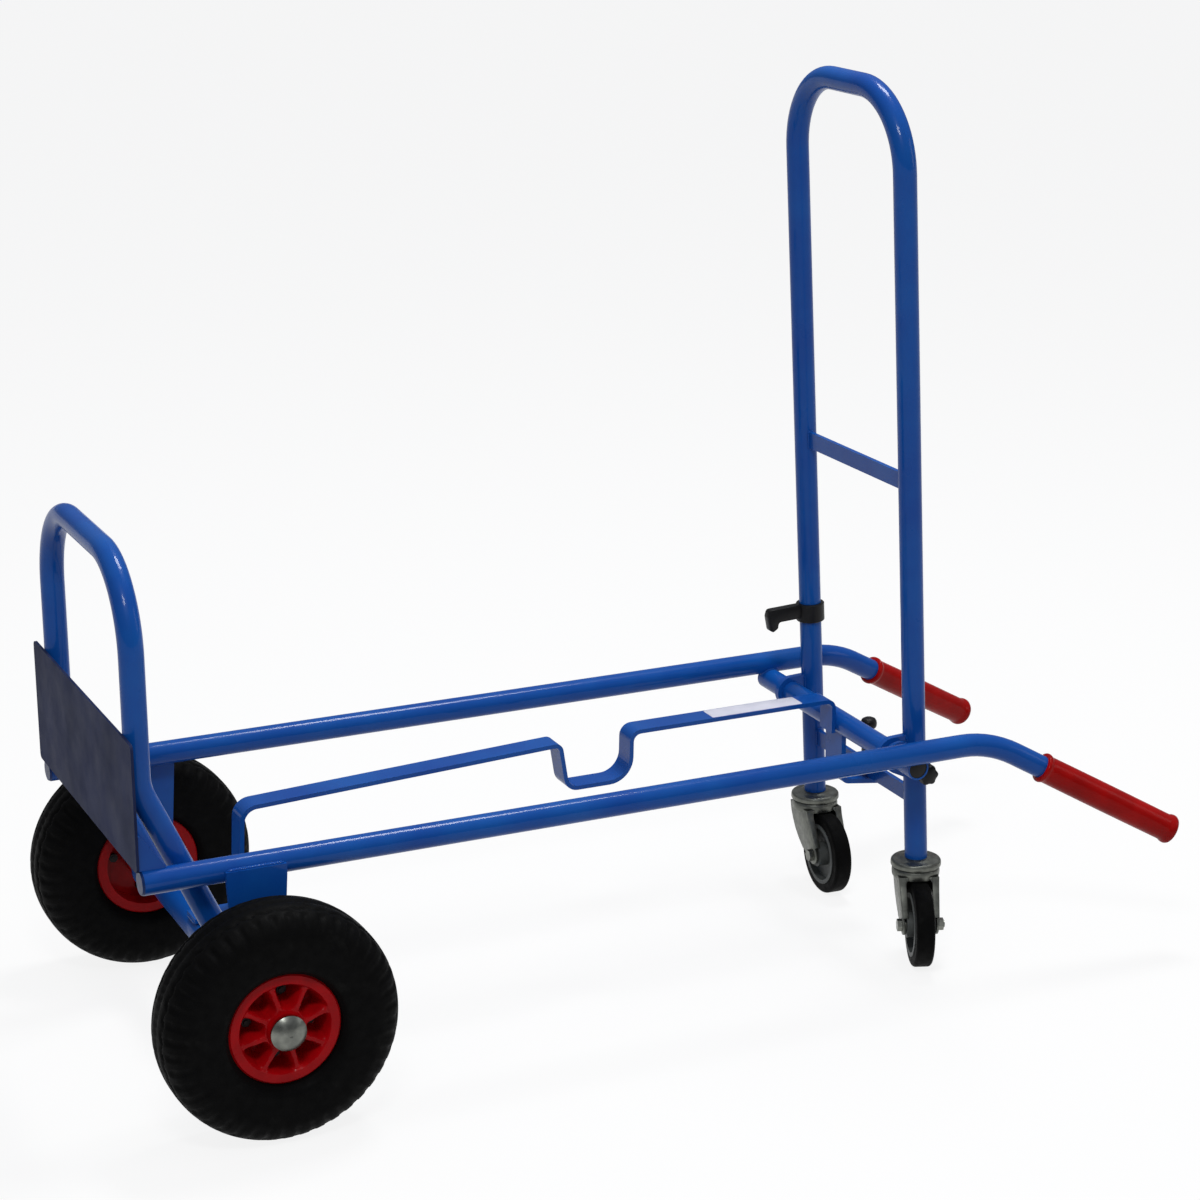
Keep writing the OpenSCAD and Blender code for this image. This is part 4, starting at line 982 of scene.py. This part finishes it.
def light_sky(scene, sky_level):
    """A sky that lights softly from above, and is plain white where the camera sees it."""
    world = bpy.data.worlds.new("studio")
    scene.world = world
    world.use_nodes = True
    tree = world.node_tree
    tree.nodes.clear()
    way = add(tree, "ShaderNodeTexCoord").outputs["Generated"]
    height = add(tree, "ShaderNodeSeparateXYZ", {0: way}).outputs["Z"]
    level = ranged(tree, height, -0.1, 0.9, HORIZON_LEVEL, sky_level)
    inputs = {"Color": linear("#f4f7ff"), "Strength": level}
    soft = add(tree, "ShaderNodeBackground", inputs).outputs[0]
    plain = add(tree, "ShaderNodeBackground", {"Color": linear(WHITE), "Strength": 1.0}).outputs[0]
    camera_ray = add(tree, "ShaderNodeLightPath").outputs["Is Camera Ray"]
    both = add(tree, "ShaderNodeMixShader", {0: camera_ray, 1: soft, 2: plain}).outputs[0]
    add(tree, "ShaderNodeOutputWorld", {"Surface": both})


def hang_lamps(scene, power):
    """The softboxes, each turned to face the hand truck."""
    for name, place, size, share in SOFTBOXES:
        lamp = bpy.data.lights.new(name + "_softbox", "AREA")
        lamp.shape = "RECTANGLE"
        lamp.size, lamp.size_y = size
        lamp.energy = power * share
        obj = bpy.data.objects.new(lamp.name, lamp)
        scene.collection.objects.link(obj)
        obj.location = place
        line = Vector(LIT_POINT) - Vector(place)
        obj.rotation_euler = line.to_track_quat("-Z", "Y").to_euler()


def set_camera(scene, values):
    """The camera at its place, turned by its heading, tilt and roll."""
    lens = bpy.data.cameras.new("camera")
    lens.sensor_width = SENSOR_MM
    lens.lens = values.lens
    camera = bpy.data.objects.new("camera", lens)
    scene.collection.objects.link(camera)
    yaw, pitch, roll = values.yaw, values.pitch, values.roll
    heading = Vector((math.sin(yaw), math.cos(yaw), 0))
    ahead = heading * math.cos(pitch) + Vector((0, 0, math.sin(pitch)))
    right = Vector((math.cos(yaw), -math.sin(yaw), 0))
    down = ahead.cross(right)
    across = right * math.cos(roll) + down * math.sin(roll)
    below = down * math.cos(roll) - right * math.sin(roll)
    turn = Matrix((across, -below, -ahead)).transposed()
    camera.matrix_world = Matrix.Translation(values.camera_place) @ turn.to_4x4()
    scene.camera = camera


class HT_OT_stage(bpy.types.Operator):
    """Sets the floor, the lights and the camera."""

    bl_idname = "ht.stage"
    bl_label = "Stage"

    def execute(self, context):
        values = settings("stage")
        context.scene.view_settings.view_transform = "Standard"
        lay_floor(context.scene)
        light_sky(context.scene, values.sky_level)
        hang_lamps(context.scene, values.lamp_power)
        set_camera(context.scene, values)
        return {"FINISHED"}


# ---- panel ----

STEPS = (
    HT_OT_paint, HT_OT_wheels, HT_OT_grips, HT_OT_welds, HT_OT_castors, HT_OT_controls, HT_OT_label,
    HT_OT_stage,
)
GROUPS = {"shape": HT_Shape, "finish": HT_Finish, "stage": HT_Stage}


class HT_PT_panel(bpy.types.Panel):
    """The hand truck's values and its steps."""

    bl_idname = "HT_PT_panel"
    bl_label = "Hand Truck"
    bl_space_type = "VIEW_3D"
    bl_region_type = "UI"
    bl_category = "Hand Truck"

    def draw(self, context):
        for name, group in GROUPS.items():
            column = self.layout.box().column()
            column.label(text=name.title())
            for key in group.__annotations__:
                column.prop(settings(name), key)
        for step in STEPS:
            self.layout.operator(step.bl_idname)


def register():
    for cls in (*GROUPS.values(), *STEPS, HT_PT_panel):
        bpy.utils.register_class(cls)
    for name, group in GROUPS.items():
        setattr(bpy.types.Scene, "ht_" + name, PointerProperty(type=group))


def unregister():
    for name in GROUPS:
        delattr(bpy.types.Scene, "ht_" + name)
    for cls in (HT_PT_panel, *reversed(STEPS), *reversed(tuple(GROUPS.values()))):
        bpy.utils.unregister_class(cls)


def main():
    register()
    for step in STEPS:
        group, name = step.bl_idname.split(".")
        getattr(getattr(bpy.ops, group), name)()


if __name__ == "__main__":
    main()
